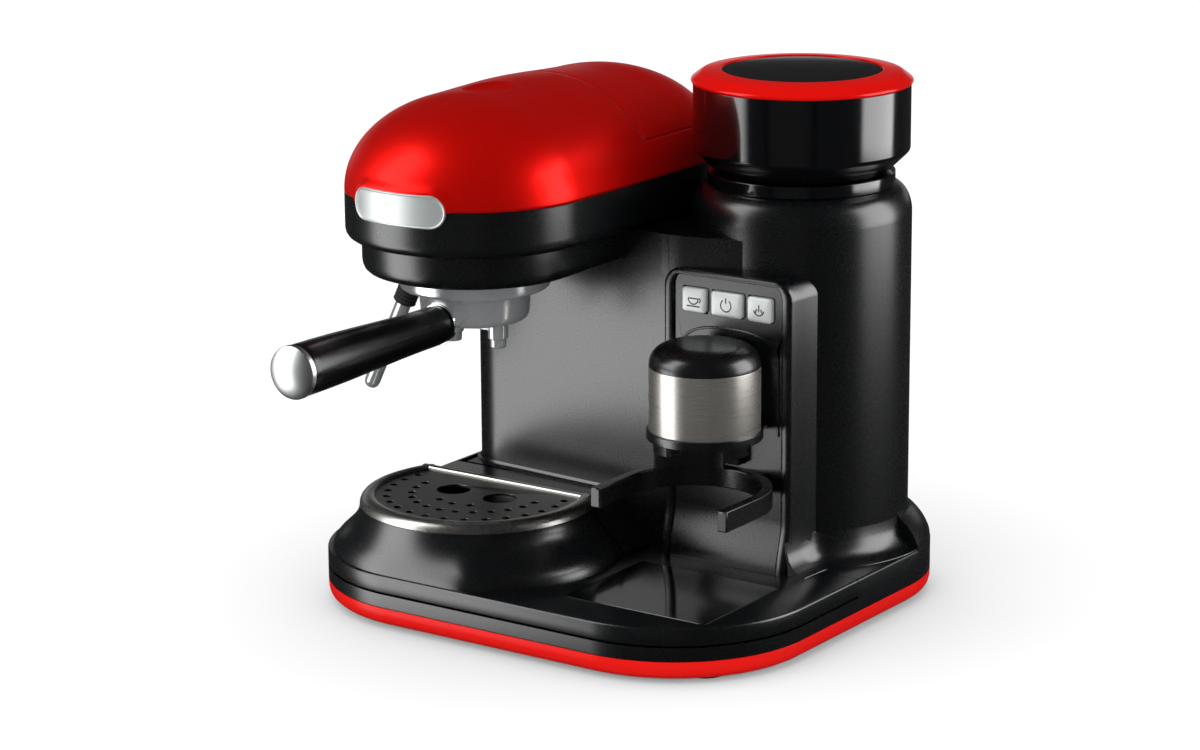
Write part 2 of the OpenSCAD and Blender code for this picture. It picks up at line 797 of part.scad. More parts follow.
module grinder_gearbox() color("#3a3d40") place()
  on_tower() difference() {
    translate([0, 0, gearbox_low_z]) cylinder(r = motor_r + 6, h = chamber_low_z - gearbox_low_z);
    translate([0, 0, chamber_low_z - 16]) cylinder(r = shaft_r + shaft_gap, h = 20);
  }

module burr_chamber() color("#2c2e31") place()
  difference() {
    on_tower() difference() {
      union() {
        translate([0, 0, chamber_low_z]) cylinder(r = tower_r - wall - fit_gap, h = flange_t);
        translate([0, 0, chamber_low_z]) cylinder(r = chamber_r, h = chamber_top_z - chamber_low_z);
      }
      translate([0, 0, burr_low_z - 3]) cylinder(r = chamber_r - wall, h = 100);
      translate([0, 0, chamber_low_z - 1]) cylinder(r = shaft_r + shaft_gap, h = 100);
    }
    span([tower_x - chute_hw, tower_y - chamber_r - 5, 180],
      [tower_x + chute_hw, tower_y - 20, chute_top_z - 3]);
    span([tower_x - chute_hw - wall - fit_gap, 0, chamber_low_z - 1],
      [tower_x + chute_hw + wall + fit_gap, tower_y - chamber_r, chamber_low_z + flange_t + 1]);
  }

module burr_shaft() color("#b0b3b6") place()
  on_tower() translate([0, 0, chamber_low_z - 15])
    cylinder(r = shaft_r, h = burr_low_z + 36 - chamber_low_z + 15);

module inner_burr() color("#77797c") place()
  on_tower() difference() {
    rotate_extrude() polygon([[0, burr_low_z], [25, burr_low_z], [24, burr_low_z + 8],
      [14, burr_low_z + 30], [0, burr_low_z + 30]]);
    translate([0, 0, burr_low_z - 1]) cylinder(r = shaft_r + shaft_gap, h = 40);
  }

module outer_burr() color("#77797c") place()
  on_tower() difference() {
    translate([0, 0, burr_low_z + 4]) cylinder(r = chamber_r - wall - run_gap - 1, h = 22);
    translate([0, 0, burr_low_z + 3]) rotate_extrude()
      polygon([[0, 0], [28, 0], [27, 5], [20.6, 24], [0, 24]]);
  }

module grind_ring() color("#a9abad") place()
  on_tower() {
    ring(30, sleeve_ring_r - run_gap, burr_low_z + 26, cap_top_z + fit_gap + eps);
    ring(30, ring_r, cap_top_z + fit_gap, ring_top_z);
  }

module tower_cap() color("#191a1c") place()
  on_tower() difference() {
    rotate_extrude() polygon(concat([[sleeve_ring_r, tower_top_z], [tower_r, tower_top_z]],
      [for (i = [0:6]) [ring_r - 1 + (tower_r - ring_r + 1) * cos(15 * i),
        tower_top_z + shoulder_h * sin(15 * i)]],
      [[sleeve_ring_r, cap_top_z]]));
    difference() {
      translate([0, 0, tower_top_z - 1]) cylinder(r = tower_r - wall - 6, h = shoulder_h - wall + 1);
      translate([0, 0, tower_top_z - 2]) cylinder(r = sleeve_ring_r + wall, h = shoulder_h);
    }
  }

module hopper() color("#131416") place()
  on_tower() difference() {
    rotate_extrude() polygon([[36, ring_top_z], [50, ring_top_z], [hopper_r - 0.5, hopper_low_z],
      [hopper_r, hopper_low_z + 3], [hopper_r, hopper_top_z], [36, hopper_top_z]]);
    rotate_extrude() polygon([[0, ring_top_z - 1], [36.1, ring_top_z - 1], [36.1, ring_top_z + 3],
      [48, ring_top_z + 3],
      [hopper_r - wall, hopper_low_z + 4], [hopper_r - wall, hopper_top_z + 1], [0, hopper_top_z + 1]]);
  }

module hopper_lid() color("#e01008") place()
  on_tower() rotate_extrude() polygon(concat(
    [[hopper_r - wall - run_gap - 3, hopper_top_z - 5], [hopper_r - wall - run_gap, hopper_top_z - 5],
     [hopper_r - wall - run_gap, hopper_top_z], [lid_r - 0.6, hopper_top_z], [lid_r, hopper_top_z + 2.5]],
    [for (i = [1:5]) [lid_r - 6 * (1 - cos(18 * i)), hopper_top_z + 2.5 + (lid_h - 2.5) * sin(18 * i)]],
    [[window_r + 2, hopper_top_z + lid_h - 0.4], [window_r + fit_gap, hopper_top_z + lid_h - 3],
      [window_r + fit_gap, hopper_top_z + 3], [window_r - 3, hopper_top_z + 3],
      [window_r - 3, hopper_top_z + 1]]));

module lid_window() color("#0b0c0d") place()
  on_tower() translate([0, 0, hopper_top_z + 3]) cylinder(r = window_r, h = lid_h - 6.2);

// ---- Head ----

module head_band() color("#131416") place()
  difference() {
    head_slab(0, band_low_z, band_top_z);
    head_slab(wall, band_low_z + band_floor, band_top_z + 1);
    translate([0, 0, band_low_z - 1]) cylinder(r = neck_r + fit_gap, h = 9);
    span([-tank_hw - tank_gap, tank_y0 - tank_gap, band_low_z - 1],
      [tank_hw + tank_gap, tank_y1 + tank_gap, band_low_z + 9]);
    translate([drop_x, pump_y, band_low_z - 1]) cylinder(r = 2 * pipe_r + 1, h = wall + 2);
    translate([-head_r - 1, knob_y, knob_z]) rotate([0, 90, 0]) cylinder(r = stem_r + shaft_gap, h = 20);
  }

module group_skirt() color("#101113") place()
  difference() {
    union() {
      translate([0, 0, skirt_low_z]) cylinder(r = skirt_r, h = band_low_z - skirt_low_z);
      span([-skirt_r, 0, skirt_low_z], [skirt_r, wall_y, band_low_z]);
    }
    body_slab(-fit_gap, skirt_low_z - 1, band_low_z + 1);
    span([-skirt_r - 1, wall_y - fit_gap, skirt_low_z - 1], [skirt_r + 1, head_back, band_low_z + 1]);
    translate([0, 0, skirt_low_z + wall]) cylinder(r = skirt_r - 2 * wall, h = 60);
    translate([0, 0, skirt_low_z - 1]) cylinder(r = neck_r + fit_gap, h = 60);
  }

// Height of the cover's section at a share s of its half width, measured as an angle
function dome_pt(inset, a) = [(head_r - inset) * cos(a),
  band_top_z + (dome_top_z - band_top_z - inset) * sin(a)];

module dome_solid(inset)
  union() {
    rotate_extrude() polygon(concat([[0, band_top_z]], [for (i = [0:12]) dome_pt(inset, 7.5 * i)]));
    translate([0, head_back, 0])
      rotate_extrude() polygon(concat([[0, band_top_z]], [for (i = [0:12]) dome_pt(inset, 7.5 * i)]));
    translate([0, head_back, 0]) rotate([90, 0, 0]) linear_extrude(head_back)
      polygon([for (i = [0:24]) dome_pt(inset, 7.5 * i)]);
  }

module dome_shell()
  difference() {
    dome_solid(0);
    intersection() {
      translate([0, 0, -eps]) dome_solid(wall);
      span([-200, -200, band_top_z - 1], [200, 400, 400]);
    }
  }

// Space that the tank lid takes out of the cover, grown by a gap
module lid_zone(gap)
  span([-head_r - 1, lid_seam_y - gap, lid_seam_z - gap],
    [head_r + 1, head_back + head_r + 1, dome_top_z + 1]);

// Hinge barrels along the lid's rear edge, each from x0 to x1, grown by a gap
module barrel(x0, x1, gap)
  translate([x0, hinge_y, hinge_z]) rotate([0, 90, 0]) cylinder(r = hinge_r + gap, h = x1 - x0);

// Arm from a barrel into the wall, from x0 to x1
module barrel_arm(x0, x1, z0, z1) span([x0, hinge_y - 6, z0], [x1, hinge_y, z1]);

// Shallow dish in the top of the cover, grown by a wall
module finger_recess(grow)
  translate([0, recess_y, dome_top_z + recess_ball - recess_depth]) sphere(r = recess_ball + grow);

module front_cover() color("#e01008") place()
  difference() {
    union() {
      difference() {
        union() {
          dome_shell();
          intersection() {
            dome_solid(0);
            finger_recess(wall);
          }
        }
        lid_zone(run_gap);
        barrel(-hinge_hw / 2 - run_gap, hinge_hw / 2 + run_gap, run_gap);
      }
      for (s = [-1, 1]) mirror([s < 0 ? 1 : 0, 0, 0]) {
        barrel(hinge_hw / 2 + run_gap, hinge_hw, 0);
        barrel_arm(hinge_hw / 2 + run_gap, hinge_hw, hinge_z - hinge_r, lid_seam_z - run_gap);
      }
    }
    barrel(-hinge_hw - 1, hinge_hw + 1, shaft_gap - hinge_r + pin_r);
    finger_recess(0);
  }

module tank_lid() color("#d80f08") place()
  difference() {
    union() {
      difference() {
        intersection() {
          dome_shell();
          lid_zone(0);
        }
        barrel(-hinge_hw - run_gap, hinge_hw + run_gap, run_gap);
      }
      barrel(-hinge_hw / 2, hinge_hw / 2, 0);
      barrel_arm(-hinge_hw / 2, hinge_hw / 2, lid_seam_z, hinge_z + hinge_r);
    }
    barrel(-hinge_hw - 1, hinge_hw + 1, shaft_gap - hinge_r + pin_r);
  }

module lid_hinge_pin() color("#b0b3b6") place()
  barrel(-hinge_hw, hinge_hw, pin_r - hinge_r);

// Curved plate on the front of the band
module badge() color("#d4d6d8") place()
  intersection() {
    ring(head_r + fit_gap / 2, head_r + 2.2, band_top_z - badge_h / 2, band_top_z + badge_h / 2);
    rotate([90, 0, 0]) linear_extrude(2 * head_r) union() {
      for (s = [-1, 1]) translate([s * (badge_w - badge_h) / 2, band_top_z]) circle(r = badge_h / 2);
      translate([0, band_top_z]) square([badge_w - badge_h, badge_h], center = true);
    }
  }

// ---- Water and steam ----

module water_tank() color("#9fb4c0") place()
  difference() {
    span([-tank_hw, tank_y0, tank_low_z], [tank_hw, tank_y1, tank_top_z]);
    span([-tank_hw + tank_wall, tank_y0 + tank_wall, tank_low_z + tank_wall],
      [tank_hw - tank_wall, tank_y1 - tank_wall, tank_top_z + 1]);
    translate([0, (tank_y0 + tank_y1) / 2, tank_low_z - 1]) cylinder(r = 5, h = 10);
  }

module tank_seat() color("#2a2b2d") place()
  difference() {
    span([-tank_hw, tank_y0, pan_top], [tank_hw, tank_y1, tank_low_z]);
    translate([0, (tank_y0 + tank_y1) / 2, pan_top + 2]) cylinder(r = 5, h = 10);
    translate([0, (tank_y0 + tank_y1) / 2, pan_top + 5]) rotate([90, 0, 0]) cylinder(r = 2.6, h = 60);
  }

module pump() color("#b5a642") place()
  translate([pump_x, pump_y, pump_z]) rotate([0, 90, 0]) {
    translate([0, 0, -pump_hl]) cylinder(r = pump_r, h = 2 * pump_hl);
    translate([0, 0, -port_end]) cylinder(r = port_r, h = port_l + eps);
    translate([0, 0, pump_hl - eps]) cylinder(r = port_r, h = port_l);
  }

module pump_mounts() color("#1a1a1a") place()
  for (s = [-1, 1]) difference() {
    span([pump_x + s * stand_x - stand_t / 2, pump_y - stand_hw, pan_top],
      [pump_x + s * stand_x + stand_t / 2, pump_y + stand_hw, pump_z + stand_hw]);
    translate([pump_x - 2 * stand_x, pump_y, pump_z]) rotate([0, 90, 0])
      cylinder(r = port_r + shaft_gap, h = 4 * stand_x);
  }

// Round tube along points, with a ball at each corner
module tube(points, r)
  for (i = [0:len(points) - 2]) {
    d = points[i + 1] - points[i];
    l = norm(d);
    translate(points[i]) rotate([0, acos(d[2] / l), atan2(d[1], d[0])]) cylinder(r = r, h = l, $fn = 32);
    if (i > 0) translate(points[i]) sphere(r = r, $fn = 32);
  }

module suction_hose() color("#c8ccd0") place()
  let (low = pan_top + 2 * pipe_r, back = tank_y0 - 2.4 * pipe_r)
    tube([[0, tank_y0 - fit_gap, low], [0, back, low], [hose_x, back, low],
      [hose_x, pump_y, low], [hose_x, pump_y, pump_z], [pump_x + port_end + fit_gap, pump_y, pump_z]],
        pipe_r);

module pressure_pipe() color("#d8dadc") place()
  let (high = band_low_z + 6 * pipe_r, reach = -drop_x - pipe_r)
    tube([[pump_x - port_end - fit_gap, pump_y, pump_z], [rise_x, pump_y, pump_z],
      [rise_x, pump_y, rise_top_z],
      [drop_x, pump_y, rise_top_z], [drop_x, pump_y, high],
      [drop_x, sqrt(pow(boiler_r, 2) - pow(reach, 2)) + fit_gap, high]], pipe_r);

module boiler() color("#bfc1c3") place()
  union() {
    translate([0, 0, band_low_z + band_floor]) cylinder(r = boiler_r, h = 40);
    translate([0, 0, neck_low_z]) cylinder(r = neck_r, h = band_low_z + band_floor - neck_low_z + eps);
  }

// ---- Brewing group ----

module group_ring() color("#c2c4c6") place()
  difference() {
    ring(holder_r + run_gap, group_r, skirt_low_z - group_h, skirt_low_z);
    translate([0, 0, ear_low_z - run_gap]) cylinder(r = ear_r + run_gap, h = ear_h + 2 * run_gap);
    for (a = [0, 180])
      translate([0, 0, skirt_low_z - group_h - 1]) rotate([0, 0, a - lock_angle - ear_half - 3])
        rotate_extrude(angle = 2 * ear_half + 6) translate([20, 0])
          square([ear_r + 2 * run_gap - 20, group_h - 4]);
  }

module group_gasket() color("#7a2a20") place()
  ring(25, 31, holder_top_z + 1.1, neck_low_z);

module shower_screen() color("#cfd1d3") place()
  difference() {
    union() {
      translate([0, 0, neck_low_z - 1.6]) cylinder(r = 24.6, h = 1.6);
      translate([0, 0, neck_low_z - 3.2]) cylinder(r = 4, h = 1.6 + eps);
    }
    for (a = [0:45:315], r = [9, 14, 19]) rotate([0, 0, a + 2 * r]) translate([r, 0, neck_low_z - 5])
      cylinder(d = 1.6, h = 10, $fn = 16);
  }

module filter_holder() color("#c2c4c6") place()
  difference() {
    union() {
      translate([0, 0, holder_low_z]) cylinder(r = holder_r, h = holder_top_z - holder_low_z);
      for (a = [0, 180]) rotate([0, 0, a - ear_half])
        rotate_extrude(angle = 2 * ear_half) translate([holder_r - 1, ear_low_z])
          square([ear_r - holder_r + 1, ear_h]);
      translate([0, 0, holder_low_z - 5]) cylinder(r = 9, h = 5 + eps);
      translate([0, -holder_r + 3, handle_z]) rotate([90, 0, 0]) cylinder(r = 9, h = 3 + 0.5);
    }
    translate([0, 0, holder_low_z + 4]) cylinder(r = holder_r - holder_wall, h = 100);
    translate([0, 0, holder_low_z - 6]) cylinder(r = 4, h = 20);
    translate([0, 0, handle_z]) rotate([90, 0, 0]) translate([0, 0, holder_r - holder_wall + 0.6])
      cylinder(r = 4, h = 20);
  }

module filter_basket() color("#d2d4d6") place()
  difference() {
    union() {
      translate([0, 0, holder_low_z + 5]) cylinder(r = holder_r - holder_wall - run_gap,
        h = holder_top_z - holder_low_z - 5 + eps);
      translate([0, 0, holder_top_z]) cylinder(r = holder_r - 0.3, h = 0.8);
    }
    translate([0, 0, holder_low_z + 6]) cylinder(r = holder_r - holder_wall - run_gap - 1, h = 60);
    for (a = [0:30:330], r = [8, 16]) rotate([0, 0, a]) translate([r, 0, holder_low_z])
      cylinder(d = 1.4, h = 10, $fn = 16);
  }

module twin_spout() color("#b9bbbd") place()
  difference() {
    union() {
      translate([-spout_x - 5, -6, holder_low_z - 11]) cube([2 * spout_x + 10, 12, 6]);
      for (s = [-1, 1]) translate([s * spout_x, 0, spout_tip_z])
        cylinder(r = 4.6, h = holder_low_z - 6 - spout_tip_z);
    }
    for (s = [-1, 1]) translate([s * spout_x, 0, spout_tip_z - 1])
      cylinder(r = 3, h = holder_low_z - 7 - spout_tip_z);
    translate([0, 0, holder_low_z - 9]) cylinder(r = 4, h = 10);
    span([-spout_x, -2, holder_low_z - 9], [spout_x, 2, holder_low_z - 7]);
  }

module along_handle(y) translate([0, -y, handle_z]) rotate([90, 0, 0]) children();

module handle_ferrule() color("#d8dadc") place()
  along_handle(holder_r + 0.5) difference() {
    cylinder(r1 = 9.6, r2 = 10.6, h = 3.2);
    translate([0, 0, -1]) cylinder(r = 4, h = 10);
  }

module handle_grip() color("#0c0d0e") place()
  along_handle(holder_r + 3.7) rotate_extrude()
    polygon([[0, 0], [11.3, 0], [12.4, 12], [handle_r - 0.4, 40],
    [handle_r, handle_end - 50], [handle_r - 0.2, handle_end - holder_r - 3.7 - 7.5],
    [0, handle_end - holder_r - 3.7 - 7.5]]);

module handle_cap() color("#d4d6d8") place()
  along_handle(handle_end - 7.5) rotate_extrude() polygon([[0, 0], [handle_r, 0], [handle_r + 0.3, 1.5],
    [handle_r + 0.3, 5], [handle_r - 1.5, 6.8], [0, 7.5]]);

// ---- Steam wand and knob ----

module wand_joint() color("#c2c4c6") place()
  translate([-wand_x, wand_y, skirt_low_z - 6]) difference() {
    cylinder(r = joint_r, h = 6);
    translate([0, 0, -1]) cylinder(r = 6 + shaft_gap, h = 5);
  }

module steam_wand() color("#c9cbcd") place()
  translate([-wand_x, wand_y, skirt_low_z - 9]) {
    translate([0, 0, 0]) cylinder(r = 6, h = 6.5);
    rotate([0, -180 + wand_lean, 0]) difference() {
      union() {
        translate([0, 0, -4]) cylinder(r = wand_r, h = wand_len + 4);
        translate([0, 0, 14]) cylinder(r = 7, h = 10);
        translate([0, 0, wand_len]) cylinder(r1 = wand_r, r2 = 2.6, h = 5);
      }
      translate([0, 0, wand_len - 20]) cylinder(r = 1.5, h = 40, $fn = 24);
    }
  }

module steam_knob() color("#131416") place()
  translate([-head_r - 0.5, knob_y, knob_z]) rotate([0, -90, 0]) {
    cylinder(r = knob_r, h = knob_h);
    translate([0, 0, -30]) cylinder(r = stem_r, h = 30 + eps);
  }

bottom_plate();
feet();
base_trim();
base_pan();
base_screws();
drip_tray();
tray_plate();
drip_grate();
main_housing();
rear_cover();
cord_inlet();
control_panel();
brew_button();
power_button();
steam_button();
control_board();
outlet_cap();
outlet_sleeve();
outlet_collar();
dispenser_fork();
grind_lever();
grind_switch();
grounds_chute();
grinder_motor();
grinder_gearbox();
burr_chamber();
burr_shaft();
inner_burr();
outer_burr();
grind_ring();
tower_cap();
hopper();
hopper_lid();
lid_window();
head_band();
group_skirt();
front_cover();
tank_lid();
lid_hinge_pin();
badge();
water_tank();
tank_seat();
pump();
pump_mounts();
suction_hose();
pressure_pipe();
boiler();
group_ring();
group_gasket();
shower_screen();
filter_holder();
filter_basket();
twin_spout();
handle_ferrule();
handle_grip();
handle_cap();
wand_joint();
steam_wand();
steam_knob();
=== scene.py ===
# Espresso machine with a built-in grinder: looks, lights and camera.
# Lengths are in millimetres from the brewing group's upright axis, with +Y to the back and z = 0 on the table.
import bpy, bmesh, json, math
import numpy as np
from mathutils import Matrix, Vector


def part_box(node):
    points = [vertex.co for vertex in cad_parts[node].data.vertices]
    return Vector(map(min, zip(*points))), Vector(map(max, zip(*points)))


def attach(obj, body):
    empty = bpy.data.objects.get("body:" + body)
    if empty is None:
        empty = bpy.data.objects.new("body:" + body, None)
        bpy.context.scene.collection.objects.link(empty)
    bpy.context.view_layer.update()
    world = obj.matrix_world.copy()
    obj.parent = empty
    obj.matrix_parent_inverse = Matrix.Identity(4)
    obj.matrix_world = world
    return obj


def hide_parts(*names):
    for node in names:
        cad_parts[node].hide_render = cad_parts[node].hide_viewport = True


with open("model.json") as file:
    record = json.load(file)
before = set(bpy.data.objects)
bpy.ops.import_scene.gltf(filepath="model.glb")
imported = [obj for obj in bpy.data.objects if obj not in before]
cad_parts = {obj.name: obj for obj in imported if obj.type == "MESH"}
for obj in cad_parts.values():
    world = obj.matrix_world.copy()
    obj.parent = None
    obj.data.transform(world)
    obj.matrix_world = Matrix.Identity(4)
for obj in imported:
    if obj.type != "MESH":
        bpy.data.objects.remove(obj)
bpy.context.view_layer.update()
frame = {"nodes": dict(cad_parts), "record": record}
print("frame loaded")

mm = 0.001
lowCorner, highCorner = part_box("group_ring")
groupAxis = np.array([(lowCorner.x + highCorner.x) / 2, (lowCorner.y + highCorner.y) / 2, 0.0])
bodyOf = {node: body for body, nodes in frame["record"]["behaviour"]["bodies"].items() for node in nodes}


def nodeBox(node):
    # x0, y0, z0, x1, y1, z1 of a CAD node in millimetres from the group axis
    low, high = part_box(node)
    return joined((np.array(low) - groupAxis) / mm, (np.array(high) - groupAxis) / mm)


def nodeRound(node):
    # radius, foot and top of a round CAD node in millimetres
    box = nodeBox(node)
    return (box[3] - box[0]) / 2, box[2], box[5]


def addObject(name, data):
    # a new object at the origin, linked to the scene
    thing = bpy.data.objects.new(name, data)
    bpy.context.scene.collection.objects.link(thing)
    return thing


# camera: place in metres, turn about Z, tilt down, roll, focal length
cameraSet = dict(place=(1.18582, -1.67980, 0.67794), turn=34.91, down=14.63, roll=-0.37, lens=110.87)


def aimCamera(c):
    # right = (cos t, sin t, 0), forward = (-sin t cos d, cos t cos d, -sin d), up = right x forward, both rolled
    t, d, r = (math.radians(c[k]) for k in ("turn", "down", "roll"))
    right = Vector((math.cos(t), math.sin(t), 0))
    forward = Vector((-math.sin(t) * math.cos(d), math.cos(t) * math.cos(d), -math.sin(d)))
    up = right.cross(forward)
    side = math.cos(r) * right + math.sin(r) * up
    top = -math.sin(r) * right + math.cos(r) * up
    data = bpy.data.cameras.new("studioCamera")
    data.lens, data.sensor_width, data.clip_end = c["lens"], 36, 50
    eye = addObject("studioCamera", data)
    eye.matrix_world = Matrix.Translation(c["place"]) @ Matrix((side, top, -forward)).transposed().to_4x4()
    bpy.context.scene.camera = eye


aimCamera(cameraSet)

topLight = dict(strength=1.0, spread=80, lean=(0.22, -0.16))


def hangTopLight():
    # a sun as wide as its spread, leaning from straight overhead; glossy rays don't see it
    data = bpy.data.lights.new("topLight", "SUN")
    data.energy, data.angle = topLight["strength"], math.radians(topLight["spread"])
    lamp = addObject("topLight", data)
    lamp.rotation_euler = (*topLight["lean"], 0)
    lamp.visible_glossy = False


hangTopLight()


def toLinear(hexColour):
    # sRGB to linear: c / 12.92 up to 0.04045, ((c + 0.055) / 1.055) ^ 2.4 above
    c = np.array([int(hexColour[i:i + 2], 16) for i in (1, 3, 5)]) / 255
    return (*np.where(c <= 0.04045, c / 12.92, ((c + 0.055) / 1.055) ** 2.4), 1.0)


def addNode(tree, kind, settings=None, links=None):
    # one node: settings go to its inputs or attributes, links join sockets, or nodes' first outputs, to its inputs
    node = tree.nodes.new("ShaderNode" + kind)
    for key, value in (settings or {}).items():
        if isinstance(key, int) or key in node.inputs:
            node.inputs[key].default_value = value
        else:
            setattr(node, key, value)
    for key, socket in (links or {}).items():
        tree.links.new(getattr(socket, "outputs", [socket])[0], node.inputs[key])
    return node


def blankTree(owner):
    # the emptied node tree of a material or a world
    owner.use_nodes = True
    owner.node_tree.nodes.clear()
    return owner.node_tree


# brightness of the room in matt and in glossy light, and the floor's paper with its own glow
room = dict(fill=0.84, gloss=0.03, paper="#EFEFEF", glow=0.13, half=7)


def paintWorld():
    # white where the camera and clear parts look, a dim grey room in gloss, a plain fill for everything else
    world = bpy.data.worlds.new("studio")
    bpy.context.scene.world = world
    tree = blankTree(world)
    path = addNode(tree, "LightPath")
    seen = addNode(tree, "Math", {"operation": "MAXIMUM"},
                   {0: path.outputs["Is Camera Ray"], 1: path.outputs["Is Transmission Ray"]})
    gloss = addNode(tree, "MapRange", {"To Min": room["fill"], "To Max": room["gloss"]},
                    {"Value": path.outputs["Is Glossy Ray"]})
    amount = addNode(tree, "Mix", {"data_type": "FLOAT", "B": 1.0}, {"Factor": seen, "A": gloss})
    glow = addNode(tree, "Background", {"Color": (1, 1, 1, 1)}, {"Strength": amount})
    addNode(tree, "OutputWorld", links={"Surface": glow})


paintWorld()
bpy.context.scene.view_settings.view_transform = "Standard"


def stageSheet(name, corners):
    # one flat four-cornered sheet of the studio, in metres
    data = bpy.data.meshes.new(name)
    data.from_pydata(corners, [], [(0, 1, 2, 3)])
    sheet = addObject(name, data)
    material = bpy.data.materials.new(name)
    data.materials.append(material)
    return sheet, material, blankTree(material)


def layFloor():
    # white paper that glows a little for the camera; glossy rays pass through it to the panels and the dark room
    w = room["half"]
    tree = stageSheet("studioFloor", [(-w, -w, 0), (w, -w, 0), (w, w, 0), (-w, w, 0)])[2]
    path = addNode(tree, "LightPath")
    matt = addNode(tree, "BsdfDiffuse", {"Color": toLinear(room["paper"])})
    glow = addNode(tree, "Emission", {"Color": (1, 1, 1, 1), "Strength": room["glow"]})
    both = addNode(tree, "AddShader", links={0: matt, 1: glow})
    clear = addNode(tree, "BsdfTransparent")
    unseen = addNode(tree, "MixShader",
                     links={0: path.outputs["Is Glossy Ray"], 1: matt, 2: clear})
    pick = addNode(tree, "MixShader",
                   links={0: path.outputs["Is Camera Ray"], 1: unseen, 2: both})
    addNode(tree, "OutputMaterial", links={"Surface": pick})


# reflector panels: direction in degrees, distance, lower and upper edge, width and soft edge in metres, and brightness
panels = {
    "leftPanel": dict(turn=-135, away=0.95, low=-0.50, high=1.70, wide=0.82, soft=0.24, bright=4.4),
    "rightPanel": dict(turn=31, away=1.00, low=-0.02, high=1.00, wide=0.82, soft=0.12, bright=5.0),
    "backPanel": dict(turn=122, away=1.35, low=0.12, high=0.48, wide=2.2, soft=0.06, bright=0.45),
    "frontPanel": dict(turn=-66, away=1.20, low=-0.60, high=1.20, wide=1.30, soft=0.30, bright=0.06),
}


def hangPanels():
    # brightness over a panel: bright x a ramp from the nearest upright edge x a ramp from the nearest level edge
    for name, p in panels.items():
        turn = math.radians(p["turn"])
        middle = np.array([math.cos(turn), math.sin(turn)]) * p["away"]
        side = np.array([-math.sin(turn), math.cos(turn)]) * p["wide"] / 2
        a, b = middle - side, middle + side
        sheet, material, tree = stageSheet(name, [(*a, p["low"]), (*b, p["low"]), (*b, p["high"]), (*a, p["high"])])
        for ray in ("camera", "diffuse", "transmission", "volume_scatter", "shadow"):
            setattr(sheet, "visible_" + ray, False)
        material.cycles.emission_sampling = "NONE"
        grid = sheet.data.uv_layers.new(name="sheet")
        grid.data.foreach_set("uv", [0, 0, 1, 0, 1, 1, 0, 1])
        place = addNode(tree, "UVMap", {"uv_map": "sheet"})
        parts = addNode(tree, "SeparateXYZ", links={0: place})
        ramps = []
        for axis, length in ((0, p["wide"]), (1, p["high"] - p["low"])):
            ends = addNode(tree, "Math", {"operation": "PINGPONG", 1: 0.5}, {0: parts.outputs[axis]})
            ramps.append(addNode(tree, "MapRange", {"interpolation_type": "SMOOTHSTEP", "From Max": p["soft"] / length},
                                 {"Value": ends}))
        both = addNode(tree, "Math", {"operation": "MULTIPLY"}, {0: ramps[0], 1: ramps[1]})
        amount = addNode(tree, "Math", {"operation": "MULTIPLY", 1: p["bright"]}, {0: both})
        glow = addNode(tree, "Emission", {"Color": (1, 1, 1, 1)}, {"Strength": amount})
        addNode(tree, "OutputMaterial", links={"Surface": glow})


layFloor()
hangPanels()
print("camera, lights and floor made")

